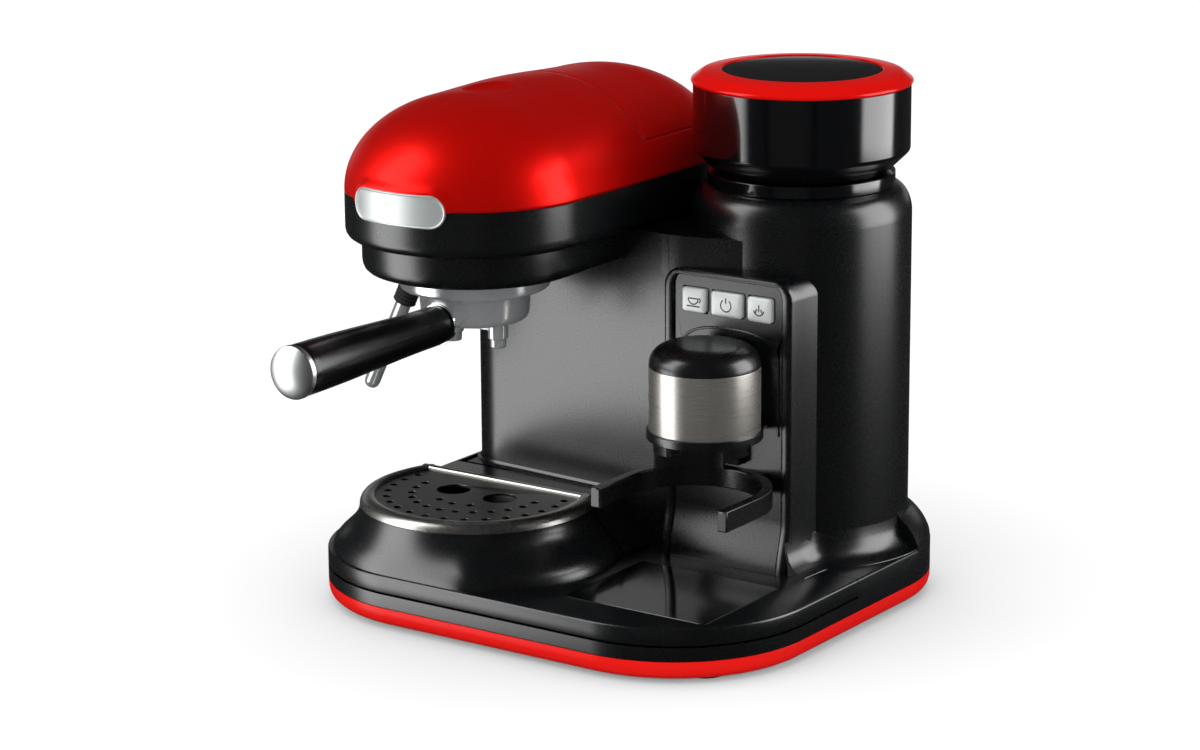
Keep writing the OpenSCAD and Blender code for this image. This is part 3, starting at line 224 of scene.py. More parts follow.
# finishes: grain and brush are pattern widths in millimetres; bump is the pattern's depth in millimetres
finishes = {
    # ABS, moulded in a spark-eroded tool: deep black with a soft, wide sheen
    "satinBlackAbs": dict(colour="#06080A", mottle="#090B0D", rough=0.27, spread=0.04, grain=0.5, bump=0.010,
                          shine=0.8),
    # ABS from a polished tool: black with clear reflections and faint haze
    "glossBlackAbs": dict(colour="#050608", mottle="#08090B", rough=0.14, spread=0.04, grain=6.0, bump=0.004,
                          coat=0.6, coatRough=0.05),
    # phenolic grip, buffed: soft long highlight
    "buffedPhenolic": dict(colour="#070808", mottle="#0A0A0B", rough=0.24, spread=0.05, grain=1.2, bump=0.006),
    # red lacquer over a fine metallic base: bright face, deep shade, sharp edges
    "redLacquer": dict(colour="#FC0D03", mottle="#F50B02", rough=0.42, spread=0.03, grain=0.8, metal=0.72, shine=0.2,
                       coat=0.10, coatRough=0.20),
    # red ABS of the trim: even colour with a soft gloss
    "redAbs": dict(colour="#FB0E04", mottle="#F70C03", rough=0.30, spread=0.03, grain=3.0, shine=0.2),
    # red ABS of the hopper's lid: polished
    "redGlossAbs": dict(colour="#F00C04", mottle="#EC0A03", rough=0.18, spread=0.03, grain=3.0, metal=0.2, shine=0.3),
    # stainless steel turned against a brush: lines run round it and stretch each light upright
    "roundBrushedSteel": dict(colour="#CFCBC4", mottle="#B9B5AE", rough=0.30, spread=0.10, brush=(30, 30, 0.35),
                              bump=0.006, metal=0.86),
    # stainless sheet brushed from side to side
    "flatBrushedSteel": dict(colour="#BDBBB7", mottle="#A5A39F", rough=0.30, spread=0.10, brush=(30, 0.4, 3),
                             bump=0.006, metal=1.0),
    # the same sheet on the grate's plate, a darker copy as painted shade where it sits sunk inside the rim
    "paintedShadeSheetSteel": dict(colour="#6C6C6B", mottle="#5C5C5B", rough=0.36, spread=0.08, brush=(30, 0.4, 3),
                           bump=0.006, metal=1.0),
    # cast aluminium, tumbled and polished: bright with a slight orange peel
    "polishedCasting": dict(colour="#D6D8DA", mottle="#C6C8CA", rough=0.17, spread=0.08, grain=2.2, bump=0.012,
                            metal=0.62),
    # chromed brass: mirror bright
    "chromePlate": dict(colour="#DEE0E2", mottle="#D6D8DA", rough=0.09, spread=0.04, grain=4.0, bump=0.002, metal=1.0),
    # blasted and anodised aluminium of the badge and the handle's end
    "satinAluminium": dict(colour="#E0E2E1", mottle="#D5D8D7", rough=0.34, spread=0.05, grain=0.4, bump=0.008,
                           metal=1.0),
    # pale pearl lacquer of the badge: even, with a soft gloss
    "pearlLacquer": dict(colour="#C3C8C7", mottle="#BCC1C0", rough=0.38, spread=0.04, grain=0.4, bump=0.004,
                         metal=0.5, coat=0.2, coatRough=0.2),
    # silver lacquer on the buttons: pale and even
    "silverLacquer": dict(colour="#DADDDD", mottle="#D2D5D5", rough=0.36, spread=0.04, grain=0.5, bump=0.004,
                          metal=0.25, coat=0.3, coatRough=0.25),
    # dark pad-printing ink
    "greyInk": dict(colour="#2B2D2F", mottle="#333537", rough=0.5, spread=0.05, grain=0.6),
    # smoked acrylic window and tray plate: black mirror
    "smokedAcrylic": dict(colour="#050606", mottle="#060707", rough=0.10, spread=0.02, grain=8.0, coat=0.4,
                          coatRough=0.05),
    # nitrile rubber: dull
    "blackRubber": dict(colour="#161616", mottle="#1C1C1C", rough=0.8, spread=0.08, grain=0.9, bump=0.03),
    # machined steel inside the grinder
    "machinedSteel": dict(colour="#9A9C9E", mottle="#8A8C8E", rough=0.34, spread=0.10, brush=(12, 12, 0.4),
                          bump=0.01, metal=1.0),
    # plain brass of the pump
    "plainBrass": dict(colour="#B59A56", mottle="#A88C4A", rough=0.32, spread=0.10, grain=1.5, bump=0.01, metal=1.0),
    # SAN of the water tank: clear with a smoky tint
    "clearSan": dict(colour="#B9C4C9", mottle="#B3BEC4", rough=0.08, spread=0.03, grain=5.0, clear=0.85),
    # glass-fibre board with green resist
    "greenBoard": dict(colour="#0F4A26", mottle="#135A30", rough=0.45, spread=0.1, grain=1.0, bump=0.01),
}


def makeFinish(name, f):
    # two close colours, the roughness and a shallow bump all follow one noise of the grain's or brush lines' real size
    material = bpy.data.materials.new(name)
    tree = blankTree(material)
    widths = f.get("brush", (f.get("grain", 1),) * 3)
    place = addNode(tree, "TexCoord")
    scaled = addNode(tree, "Mapping", {"Scale": [1 / (w * mm) for w in widths]}, {"Vector": place.outputs["Object"]})
    noise = addNode(tree, "TexNoise", {"Scale": 1.0, "Detail": 3.0, "Roughness": 0.6}, {"Vector": scaled})
    colour = addNode(tree, "Mix", {"data_type": "RGBA", 6: toLinear(f["colour"]), 7: toLinear(f["mottle"])},
                     {0: noise})
    half = f["spread"] / 2
    rough = addNode(tree, "MapRange", {"From Min": 0.3, "From Max": 0.7, "To Min": f["rough"] - half,
                                       "To Max": f["rough"] + half}, {"Value": noise})
    surface = addNode(tree, "BsdfPrincipled",
                      {"Metallic": f.get("metal", 0.0), "Coat Weight": f.get("coat", 0.0),
                       "Coat Roughness": f.get("coatRough", 0.03), "Transmission Weight": f.get("clear", 0.0),
                       "Specular IOR Level": f.get("shine", 0.5)},
                      {"Base Color": colour.outputs[2], "Roughness": rough})
    if f.get("bump"):
        relief = addNode(tree, "Bump", {"Strength": 0.6, "Distance": f["bump"] * mm}, {"Height": noise})
        tree.links.new(relief.outputs[0], surface.inputs["Normal"])
    addNode(tree, "OutputMaterial", links={"Surface": surface})
    return material


paint = {name: makeFinish(name, f) for name, f in finishes.items()}
print("finishes made:", len(paint))


def easeCorners(corners, cuts, steps=5):
    # each corner C becomes (1-t)^2 A + 2t(1-t) C + t^2 B, with A and B a cut's distance away along its two edges
    c = np.asarray(corners, float)
    cut = np.broadcast_to(np.asarray(cuts, float), len(c))[:, None]
    back, on = np.roll(c, 1, 0) - c, np.roll(c, -1, 0) - c
    a = c + back / np.maximum(np.linalg.norm(back, axis=1, keepdims=True), 1e-9) * cut
    b = c + on / np.maximum(np.linalg.norm(on, axis=1, keepdims=True), 1e-9) * cut
    t = np.linspace(0, 1, steps + 1)[None, :, None]
    return ((1 - t) ** 2 * a[:, None] + 2 * t * (1 - t) * c[:, None] + t ** 2 * b[:, None]).reshape(-1, c.shape[1])


def quads(rows, columns, wrapRows, wrapColumns):
    # corner numbers of every cell of a grid, row after row; a wrapped side joins its last line to its first
    r = np.arange(rows if wrapRows else rows - 1)[:, None]
    c = np.arange(columns if wrapColumns else columns - 1)[None, :]
    up, on = (r + 1) % rows, (c + 1) % columns
    corners = [r * columns + c, r * columns + on, up * columns + on, up * columns + c]
    return np.stack(corners, -1).reshape(-1, 4).tolist()


def skin(grid, wrapRows=False, wrapColumns=True, caps=True):
    # surface over a grid of points (rows, columns, 3); the first and last rows are filled where they stay open
    rows, columns = grid.shape[:2]
    faces = quads(rows, columns, wrapRows, wrapColumns)
    if caps and not wrapRows:
        faces += [list(range(columns)), list(range((rows - 1) * columns, rows * columns))]
    return grid.reshape(-1, 3), faces


def joined(*lists):
    # lists of points, one after the other
    return np.concatenate(lists)


def turns(start, end, steps, endpoint=True):
    # angles from start to end in even steps, given in degrees and returned in radians
    return np.radians(np.linspace(start, end, steps, endpoint=endpoint))


def level(flat, z):
    # (x, y) points laid at height z
    return np.column_stack([flat, np.full(len(flat), z)])


def upright(flat, y):
    # (across, up) points stood up at depth y
    flat = np.asarray(flat, float)
    return np.column_stack([flat[:, 0], np.full(len(flat), y), flat[:, 1]])


def oblong(x0, x1, z0, z1):
    # corners of a rectangle between two distances and two heights
    return [(x0, z0), (x1, z0), (x1, z1), (x0, z1)]


def raised(section, z):
    # the section's points lifted by z
    return [(x, y + z) for x, y in section]


def oval(a, across, up, middle=(0, 0)):
    # middle + (across x cos a, up x sin a)
    return np.column_stack([middle[0] + across * np.cos(a), middle[1] + up * np.sin(a)])


def smooth(t):
    # 3 t^2 - 2 t^3, with t kept between 0 and 1
    t = np.clip(t, 0, 1)
    return t * t * (3 - 2 * t)


def turned(profile, origin=(0, 0, 0), axis=(0, 0, 1), start=0, end=360, steps=96):
    # (r, h) goes to origin + h axis + r (cos a side + sin a across), for angles a from start to end
    profile = np.asarray(profile, float)
    axis = np.asarray(axis, float) / np.linalg.norm(axis)
    side = np.array([1.0, 0, 0]) if abs(axis[2]) > 0.7 else np.array([0.0, 0, 1])
    side = side - axis * side.dot(axis)
    side /= np.linalg.norm(side)
    across = np.cross(axis, side)
    whole = end - start >= 360
    a = turns(start, end, steps, endpoint=not whole)[:, None, None]
    r, h = profile[None, :, :1], profile[None, :, 1:]
    grid = np.asarray(origin, float) + h * axis + r * (np.cos(a) * side + np.sin(a) * across)
    return skin(grid, wrapRows=whole)


def swept(path, outward, section, closed=True, lift=(0, 0, 1)):
    # (offset, height) goes to path + offset outward + height lift, at every point of the path
    path, outward = (np.asarray(v, float)[:, None, :] for v in (path, outward))
    section = np.asarray(section, float)[None, :, :, None]
    grid = path + section[:, :, 0] * outward + section[:, :, 1] * np.asarray(lift, float)
    return skin(grid, wrapRows=closed)


def stacked(loops):
    # closed loops of equal length, each joined to the next, with the first and last filled
    return skin(np.stack([np.asarray(loop, float) for loop in loops]))


def arcLine(arcs, steps=24):
    # points centre + r (cos a, sin a) and their outward directions (cos a, sin a), arc after arc, at z = 0
    points, outward = [], []
    for x, y, r, a0, a1 in arcs:
        a = turns(a0, a1, steps)
        direction = np.stack([np.cos(a), np.sin(a), 0 * a], 1)
        points.append(np.array([x, y, 0]) + r * direction)
        outward.append(direction)
    return np.concatenate(points), np.concatenate(outward)


def roundedBox(width, height, radius, steps=8):
    # rectangle about the origin with quarter circles at its corners, as (across, up) points
    w, h = width / 2 - radius, height / 2 - radius
    a = turns(0, 90, steps)
    corners = [(w, h, 0), (-w, h, 90), (-w, -h, 180), (w, -h, 270)]
    return np.concatenate([oval(a + math.radians(turn), radius, radius, (x, y)) for x, y, turn in corners])


def settle(mesh, merge=2e-6):
    # joins doubled points, drops slivers and turns all faces outwards
    work = bmesh.new()
    work.from_mesh(mesh)
    bmesh.ops.remove_doubles(work, verts=work.verts, dist=merge)
    bmesh.ops.dissolve_degenerate(work, dist=merge / 2, edges=work.edges)
    bmesh.ops.recalc_face_normals(work, faces=work.faces)
    work.to_mesh(mesh)
    work.free()


def dress(piece, finish, nodes, rideOn=None, sharp=32):
    # finish, smooth shading up to the sharp angle, and the body, slot and nodes that the piece stands for
    nodes = [nodes] if isinstance(nodes, str) else nodes
    mesh = piece.data
    mesh.materials.clear()
    mesh.materials.append(paint[finish])
    mesh.shade_smooth()
    mesh.set_sharp_from_angle(angle=math.radians(sharp))
    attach(piece, rideOn or bodyOf[nodes[0]])
    if nodes:
        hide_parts(*nodes)


def build(name, parts, finish, nodes, rideOn=None, sharp=32):
    # one object from several (points, faces) parts, moved from the group axis to the frame and to metres
    points, faces, start = [], [], 0
    for partPoints, partFaces in parts:
        points.append(np.asarray(partPoints, float))
        faces += [[i + start for i in face] for face in partFaces]
        start += len(partPoints)
    mesh = bpy.data.meshes.new(name)
    mesh.from_pydata((np.concatenate(points) * mm + groupAxis).tolist(), [], faces)
    settle(mesh)
    piece = addObject(name, mesh)
    dress(piece, finish, nodes, rideOn, sharp)
    return piece


def lathe(name, profile, finish, node, origin=(0, 0, 0), steps=160, axis=(0, 0, 1)):
    # one piece from one section turned all the way round
    build(name, [turned(profile, origin, axis, steps=steps)], finish, node)


def blockAlong(section, start, end, axis=1):
    # flat outline (across, up) carried along Y or X between two places
    section = np.asarray(section, float)
    order = [0, 2] if axis == 1 else [1, 2]
    loops = []
    for place in (start, end):
        loop = np.zeros((len(section), 3))
        loop[:, order], loop[:, axis] = section, place
        loops.append(loop)
    return stacked(loops)


def smoothCopy(node, finish, edge=0.4, sharp=30):
    # the CAD shape itself, with its points joined, smooth faces and rounded edges
    piece = addObject(node + "_smooth", frame["nodes"][node].data.copy())
    settle(piece.data, 5e-6)
    dress(piece, finish, node, sharp=sharp)
    if edge:
        cut = piece.modifiers.new("edges", "BEVEL")
        cut.width, cut.segments, cut.limit_method, cut.angle_limit = edge * mm, 3, "ANGLE", math.radians(sharp)
    return piece


def getPoints(things, field="co"):
    # places of all vertices or faces, in millimetres from the group axis
    points = np.empty(3 * len(things))
    things.foreach_get(field, points)
    return (points.reshape(-1, 3) - groupAxis) / mm


def setPoints(mesh, points):
    # the way back: points x mm + group axis
    mesh.vertices.foreach_set("co", (points * mm + groupAxis).ravel())
    mesh.update()


# the base: one outline for the trim, the pan, the tray and the deck
x0, y0, z0, x1, y1, z1 = nodeBox("base_pan")
base = dict(left=x0, front=y0, right=x1, back=y1, cornerFront=85.0, cornerRight=78.0, cornerLeft=60.0)
trim = dict(low=2.1, high=13.0, curlIn=4.6, deep=5.9)
band = dict(panTop=21.25, groove=0.95, deckTop=32.5, edge=1.5)
# inset and height along the deck's rounded edge
deckEdge = [(x * band["edge"], band["deckTop"] + z * band["edge"])
            for x, z in ((0, -1), (0.12, -0.6), (0.42, -0.22), (0.9, 0))]


def baseCorner(sideX, sideY, r, start):
    # quarter circle of radius r inside the corner where two sides of the base meet
    toX, toY = (1 if sideX == "left" else -1), (1 if sideY == "front" else -1)
    return base[sideX] + toX * r, base[sideY] + toY * r, r, start, start + 90


baseArcs = [baseCorner(*corner) for corner in (
    ("left", "front", base["cornerFront"], 180), ("right", "front", base["cornerFront"], 270),
    ("right", "back", base["cornerRight"], 0), ("left", "back", base["cornerLeft"], 90))]
basePath, baseOut = arcLine(baseArcs, 40)


def baseLoop(inset, z):
    # the base's outline drawn in by the inset, at height z
    return basePath - inset * baseOut + [0, 0, z]


def makeBase():
    # the trim's section (offset, height) goes round the outline; the band stands on it
    t = trim
    section = easeCorners([(-t["deep"], t["low"]), (-t["curlIn"], t["low"]), (-1.3, 4.7), (0, 8.2), (0, t["high"]),
                           (-t["deep"], t["high"])], [0.3, 1.0, 1.7, 2.4, 0.3, 0.2])
    ring = build("red_trim", [swept(basePath, baseOut, section)], "redAbs", "base_trim")
    ring.visible_diffuse = False  # keeps its red light off the pale floor
    side = [(0.5, t["high"] + 0.1), (0.05, t["high"] + 0.45), (0, t["high"] + 1), (0, band["panTop"])]
    build("pan_band", [stacked([baseLoop(*p) for p in side])], "satinBlackAbs", "base_pan")


makeBase()
print("base made")

# the sliding tray: side band, flat top, round plinth with its spreading foot, and the bowl under the grate
tray = dict(backLeft=30.0, backMiddle=47.6, backRight=68.7, middleFrom=75.4, rightFrom=183.4,
            rim=69.4, top=61.0, chord=30.0, wall=3.0, bowlFloor=24.5, frontMargin=1.6, seamGap=0.4, corner=3.0)
flareLine = [(69.4, 60.6), (69.5, 59.2), (70.2, 56.5), (71.6, 53.4), (73.6, 50.6), (76.4, 47.6), (79.6, 44.6),
             (82.9, 41.6), (85.6, 38.4), (87.0, 35.6), (87.5, 33.2), (87.6, 32.0)]


def plinthReach(angles, margin):
    # distance from the group axis to the base's outline less a margin, at its front line or its left corner's circle
    c, s = np.cos(angles), np.sin(angles)
    line = np.where(s < -1e-6, (base["front"] + margin) / np.minimum(s, -1e-6), 1e3)
    cx, cy, r = base["left"] + base["cornerFront"], base["front"] + base["cornerFront"], base["cornerFront"] - margin
    b = c * cx + s * cy
    circle = b + np.sqrt(np.maximum(b * b - cx * cx - cy * cy + r * r, 0))
    return np.where((circle * c < cx) & (s < 0), circle, line)


def chordCut(radius, angles, chord):
    # the radius, or less where the straight back at y = chord comes first
    s = np.sin(angles)
    return np.minimum(radius, np.where(s > 1e-6, chord / np.maximum(s, 1e-6), 1e3))


def makeTray():
    # slab with a rounded edge, plinth and bowl turned about the group axis, and the dark plate let into the deck
    t = tray
    frontPath, frontOut = arcLine(baseArcs[:2], 48)

    def plan(inset, z):
        # the slab's outline, drawn in by the inset at the edge and by no more than the gap at the seams
        seam = min(inset, t["seamGap"])
        right, middle = t["rightFrom"] + seam, t["middleFrom"] + seam
        y0, y1, y2 = t["backLeft"] - seam, t["backMiddle"] - seam, t["backRight"] - seam
        corners = [(base["right"] - inset, y2), (right, y2), (right, y1), (middle, y1), (middle, y0),
                   (base["left"] + inset, y0)]
        return level(joined((frontPath - inset * frontOut)[:, :2], corners), z)

    low = band["panTop"] + band["groove"]
    slab = stacked([plan(*p) for p in [(0.7, low), (0.15, low + 0.2), (0, low + 0.7)] + deckEdge])
    # the plinth: radius rim + (foot - rim) k, with k = 1 - 0.1 ln(1 + e^((1 - room) / 0.1)) to fit inside the edge
    corner = math.asin(t["chord"] / t["rim"])
    a = np.unique(joined(np.linspace(0, 2 * np.pi, 181)[:-1], [corner, np.pi - corner]))
    room = (plinthReach(a, t["frontMargin"]) - t["rim"]) / (flareLine[-1][0] - t["rim"])
    squeeze = np.clip(1 - 0.1 * np.log1p(np.exp((1 - np.minimum(room, 4)) / 0.1)), 0.1, 1)
    rows = [(chordCut(t["rim"] + (r - t["rim"]) * squeeze, a, t["chord"]), z) for r, z in flareLine[::-1]]
    top, floor, wall = t["top"], t["bowlFloor"], t["wall"]
    inside = [(0.3, top - 0.1), (2.7, top - 0.1), (wall, top - 0.6), (wall, floor + 3), (4, floor + 0.8), (7, floor)]
    rows += [(chordCut(t["rim"] - inset, a, t["chord"] - inset), z) for inset, z in inside]
    rings = [level(oval(a, r, r), z) for r, z in rows]
    build("sliding_tray", [slab, stacked(rings)], "satinBlackAbs", "drip_tray")
    x0, y0, z0, x1, y1, z1 = nodeBox("tray_plate")
    size, middle = np.array([x1 - x0, y1 - y0]), [(x0 + x1) / 2, (y0 + y1) / 2]
    plate = roundedBox(*size, t["corner"])
    at = lambda inset, z: level(plate * (1 - 2 * inset / size) + middle, z)
    layers = [at(0.3, z0), at(0, z0 + 0.2), at(0, z1 - 0.25), at(0.25, z1)]
    build("tray_window", [stacked(layers)], "smokedAcrylic", "tray_plate")


makeTray()
grate = dict(plateR=60.95, drop=0.9, holeEdge=0.5, barFront=24.8, barBack=29.6, barHalf=60.5)


def makeGrate():
    # the CAD plate, sunk a little inside its rolled rim and given painted shade as a darker steel; the holes' rounded
    # edges keep the rim's bright steel
    g = grate
    top = nodeBox("drip_grate")[5]
    plate = smoothCopy("drip_grate", "flatBrushedSteel", g["holeEdge"])
    mesh = plate.data
    points = getPoints(mesh.vertices)
    sunk = (np.hypot(points[:, 0], points[:, 1]) < g["plateR"]) & (points[:, 2] < top - 0.9)
    points[sunk, 2] -= g["drop"]
    setPoints(mesh, points)
    middles = np.hypot(*getPoints(mesh.polygons, "center")[:, :2].T)
    # painted shade: the faces inside the rim take the darker copy of the steel
    mesh.materials.append(paint["paintedShadeSheetSteel"])
    mesh.polygons.foreach_set("material_index", (middles < g["plateR"] - 0.2).astype(int))
    plate.modifiers[-1].material = 0
    mesh.update()
    low, y0, y1 = top - 1.6 - g["drop"], g["barFront"], g["barBack"]
    bar = [(y0, low), (y0, top - 1.2), (y0 + 0.5, top - 0.4), (y0 + 1.4, top - 0.05),
           (y1 - 1.2, top - 0.05), (y1 - 0.4, top - 0.4), (y1, top - 1.2), (y1, low)]
    build("grate_bar", [blockAlong(bar, -g["barHalf"], g["barHalf"], axis=0)], "flatBrushedSteel", "drip_grate")


makeGrate()
print("tray made")

# the column: left and front wall, ledge behind the grate, fixed deck and the front of the grinder tower
column = dict(left=-60.0, corner=28.0, wallFront=65.6, meets=(96.0, 57.4), wall=3.0, low=21.3, high=220.9, seam=136.0,
              ledgeTop=61.0, ledgeFront=30.5, ledgeBack=62.5, ledgeRight=75.2, ledgeSide=75.0, ledgeLow=34.0,
              brink=32.9, seamPast=6.1, wellRight=-20.0, wellFront=60.0, wellBack=93.6, step=-55.0,
              deckEnds=(-50.0, 150.0), deckMiddle=(75.8, 183.0), deckBack=72.0, plateFrom=40.0, plateLow=198.0,
              rearPlateLow=217.0)
tower = dict(x=140.0, y=130.0, r=64.4, wall=3.0, openTop=205.0, split=5.25, straightTop=227.95, bore=41.0,
             shoulderFrom=228.0, shoulder=16.7, capTop=244.7, ringR=54.5, ringLow=245.0, ringTop=252.1,
             neckR=40.5, neckBore=30.1, neckLow=223.0, neckTop=245.1)
housing = dict(left=93.3, right=179.3, top=202.5, corner=11.0, side=6.5, over=3.4, face=56.0, back=96.0,
           toe=6.0, toeFrom=62.0, toeTo=32.0, panelFace=57.85)


def toeAt(z):
    # how far the housing's foot comes forward: toe x smooth(t), t running from 0 at its start to 1 at the deck
    return housing["toe"] * smooth((housing["toeFrom"] - z) / (housing["toeFrom"] - housing["toeTo"]))


def towerWall(low, start, end, steps):
    # the tower's wall between two angles, from a height up to its shoulder
    t = tower
    section = oblong(t["r"] - t["wall"], t["r"], low, t["straightTop"])
    return turned(section, (t["x"], t["y"], 0), start=start, end=end, steps=steps)


def wallAlong(path, outward):
    # a wall of the column's thickness and height along a plan
    thick, low, high = (column[k] for k in ("wall", "low", "high"))
    return swept(path, outward, [(0, low), (0, high), (-thick, high), (-thick, low)], closed=False)


def topPlate(before, start, end, steps, after, heights):
    # flat plate: corners, an arc just inside the tower's wall, more corners, at two or three heights
    arc = arcLine([(tower["x"], tower["y"], tower["r"] - 1, start, end)], steps)[0][:, :2]
    plan = np.concatenate([before, arc] + ([after] if after else []))
    return stacked([level(plan, z) for z in heights])


def makeColumn():
    # wall sections (offset, height) along the front's plan, and level blocks for the ledge and the deck
    c, h, t = column, housing, tower
    low, top, ledgeZ, seam = band["panTop"], band["deckTop"], c["ledgeTop"], c["seam"] - 0.1
    corner, cornerOut = arcLine([(c["left"] + c["corner"], c["wallFront"] + c["corner"], c["corner"], 180, 270)], 20)
    run = np.array(c["meets"]) - corner[-1, :2]
    slant = np.array([run[1], -run[0], 0]) / np.linalg.norm(run)
    front = level(corner[-1, :2] + np.linspace(0, 1, 12)[1:, None] * run, 0)
    path = joined([[c["left"], seam, 0]], corner, front)
    outward = joined([[-1, 0, 0]], cornerOut, np.tile(slant, (len(front), 1)))
    wall = wallAlong(path, outward)
    # thin cove where the wall stands on the ledge
    onLedge = path[:, 0] < c["ledgeRight"] - 6
    cove = raised([(-1, -0.4), (2.6, -0.4), (2.6, 0.05), (1.2, 0.45), (0.45, 1.2), (0.05, 2.6), (-1, 2.6)], ledgeZ)
    wallFoot = swept(path[onLedge][1:], outward[onLedge][1:], cove, closed=False)
    # the ledge, with the plinth's spreading foot carried on along both its sides
    ledgeY, side, foot, brink = (c[k] for k in ("ledgeFront", "ledgeSide", "ledgeLow", "brink"))
    back, step, left = c["wellBack"], c["step"], c["left"]
    half = [(math.sqrt(r * r - ledgeY ** 2), z) for r, z in flareLine if z > brink]
    ledge = blockAlong([(0, foot), (side, foot), (side, brink)] + half[::-1] + [(-left, ledgeZ), (left, ledgeZ)]
                       + [(-x, z) for x, z in half] + [(-side, brink), (-side, foot)], ledgeY, c["ledgeBack"])
    behindGrate = blockAlong(oblong(left, c["wellRight"], foot, ledgeZ), c["wellFront"], back)
    nose = turns(180, 90, 14)
    strip = joined([[step, ledgeY + 30, 0], [step, back, 0]], np.tile([step, back, 0], (14, 1)))
    stripOut = joined([[-1, 0, 0], [-1, 0, 0]], level(oval(nose, 1, 1), 0))
    leftSection = [(0, 32.4)] + [(x + step, z) for x, z in half[::-1]] + [(5, ledgeZ), (0, ledgeZ)]
    leftFoot = swept(strip, stripOut, leftSection, closed=False)
    # the deck's three fixed blocks: left of the plinth, right of the tray, and behind it
    edge, gap, (leftEnd, rightEnd) = [(0, low)] + deckEdge, tray["seamGap"], c["deckEnds"]
    deckLeft = blockAlong([(base["left"] + x, z) for x, z in edge] + [(leftEnd, top), (leftEnd, low)], ledgeY, seam)
    deckRight = blockAlong([(base["right"] - x, z) for x, z in edge] + [(rightEnd, top), (rightEnd, low)],
                           tray["backRight"] + gap, seam)
    deckMiddle = blockAlong(oblong(*c["deckMiddle"], low, top), tray["backMiddle"] + gap, c["deckBack"])
    # the tower's front, and the cove round its foot and the housing's right side
    arc, arcOut = arcLine([(t["x"], t["y"], t["r"], -46, t["split"])], 30)
    footPath = joined([[h["right"] + x, y, 0] for x, y in ((0, 53), (0.6, 66), (1.6, 77))], arc)
    footOut = joined([[1, 0, 0], [1, 0, 0], [0.97, -0.24, 0]], arcOut)
    cove = [(-1, -0.2), (12.8, -0.2), (12.6, 0.3), (8.2, 1.7), (4.6, 4.3), (2.0, 8.4), (0.6, 13.5), (0.0, 19), (-1, 19)]
    towerFoot = swept(footPath, footOut, raised(cove, top), closed=False)
    # top plate from under the head to the tower, with its short wall over the housing
    x = c["plateFrom"]
    plate = topPlate([[x, seam], [x, c["wallFront"] - 3], [h["left"] + 1, 57.4], [h["left"] + 12, 58.6]],
                     -80, -185.2, 34, None, (c["plateLow"], c["high"] - 0.6, c["high"]))
    return [wall, wallFoot, ledge, behindGrate, leftFoot, deckLeft, deckRight, deckMiddle,
            towerWall(low, -96, t["split"], 64), towerFoot, towerWall(t["openTop"], -185.2, -96, 60), plate]


def makeHousing():
    # the housing's frame: a section (offset, depth) carried up the left side, over the top and down the right side
    h = housing
    sideZ = joined(np.linspace(band["panTop"], 30, 3), np.linspace(33, 66, 18), [100, 150])
    w = (h["right"] - h["left"]) / 2 - h["corner"]
    middle, topZ = (h["left"] + h["right"]) / 2, h["top"] - h["corner"]
    a = turns(180, 90, 14)
    up = np.column_stack([np.full(len(sideZ), h["left"]), sideZ])
    bend = oval(a, h["corner"], h["corner"], (middle - w, topZ))
    leftPath = joined(up, bend)
    # over the top the frame is thinner than at its sides
    leftOut = joined(np.tile([-1, 0], (len(up), 1)), oval(a, 1, h["over"] / h["side"]))
    flat = joined(leftPath, np.column_stack([2 * middle - leftPath[::-1, 0], leftPath[::-1, 1]]))
    out = joined(leftOut, leftOut[::-1] * [-1, 1])
    f, k = h["face"], -h["side"]
    section = [(k, f + 3.6), (k, f + 1.5), (k + 0.15, f + 0.9), (k + 0.6, f + 0.35), (k + 1.3, f + 0.05), (-2.0, f),
               (-1.0, f + 0.25), (-0.25, f + 0.9), (0.25, f + 2.0), (0.5, f + 4), (0.9, f + 10), (1.5, f + 18),
               (2.6, f + 26), (5.0, h["back"] - 6), (6.5, h["back"]), (-2, h["back"]), (-2, f + 3.6)]
    points, faces = swept(upright(flat, 0), upright(out, 0), section, closed=False, lift=(0, 1, 0))
    # warp: the front follows the toe, the back stays
    points[:, 1] -= toeAt(points[:, 2]) * np.clip((h["back"] - points[:, 1]) / (h["back"] - f), 0, 1)
    # plate between the rims, under the control panel
    z = joined([band["panTop"]], np.linspace(31, 61.8, 20))
    y = h["panelFace"] - toeAt(z)
    side = joined(np.column_stack([y, z]), np.column_stack([y + 2.6, z])[::-1])
    plate = blockAlong(side, h["left"] + 5.5, h["right"] - 5.5, axis=0)
    return [(points, faces), plate]


niche = dict(x=137.2, half=32.4, low=112.0, spring=153.0, top=169.8, proud=1.0, wide=1.5, power=2.6)


def makeNicheLip():
    # raised lip round the niche: up one side, over a flattened arch x^2.6 + z^2.6 = 1, and down the other side
    n = niche
    a = turns(180, 0, 40)
    power = lambda v: np.sign(v) * np.abs(v) ** (2 / n["power"])
    left, right, rise = n["x"] - n["half"], n["x"] + n["half"], n["top"] - n["spring"]
    arch = np.column_stack([n["x"] + n["half"] * power(np.cos(a)), n["spring"] + rise * power(np.sin(a))])
    path = joined([[left, n["low"]]], arch, [[right, n["low"]]])
    step = np.gradient(path, axis=0)
    across = np.column_stack([-step[:, 1], step[:, 0]]) / np.linalg.norm(step, axis=1, keepdims=True)
    y = housing["panelFace"] + 0.3
    bead = ((0, 0), (0, 0.7), (0.3, 1), (0.7, 1), (1, 0.7), (1, 0))
    section = [(x * n["wide"], y - out * n["proud"]) for x, out in bead]
    lip = swept(upright(path, 0), upright(across, 0), section, closed=False, lift=(0, 1, 0))
    build("niche_lip", [lip], "satinBlackAbs", "control_panel")


build("front_shell", makeColumn() + makeHousing(), "satinBlackAbs", "main_housing")
smoothCopy("control_panel", "satinBlackAbs", 0.3)
makeNicheLip()
print("front shell made")


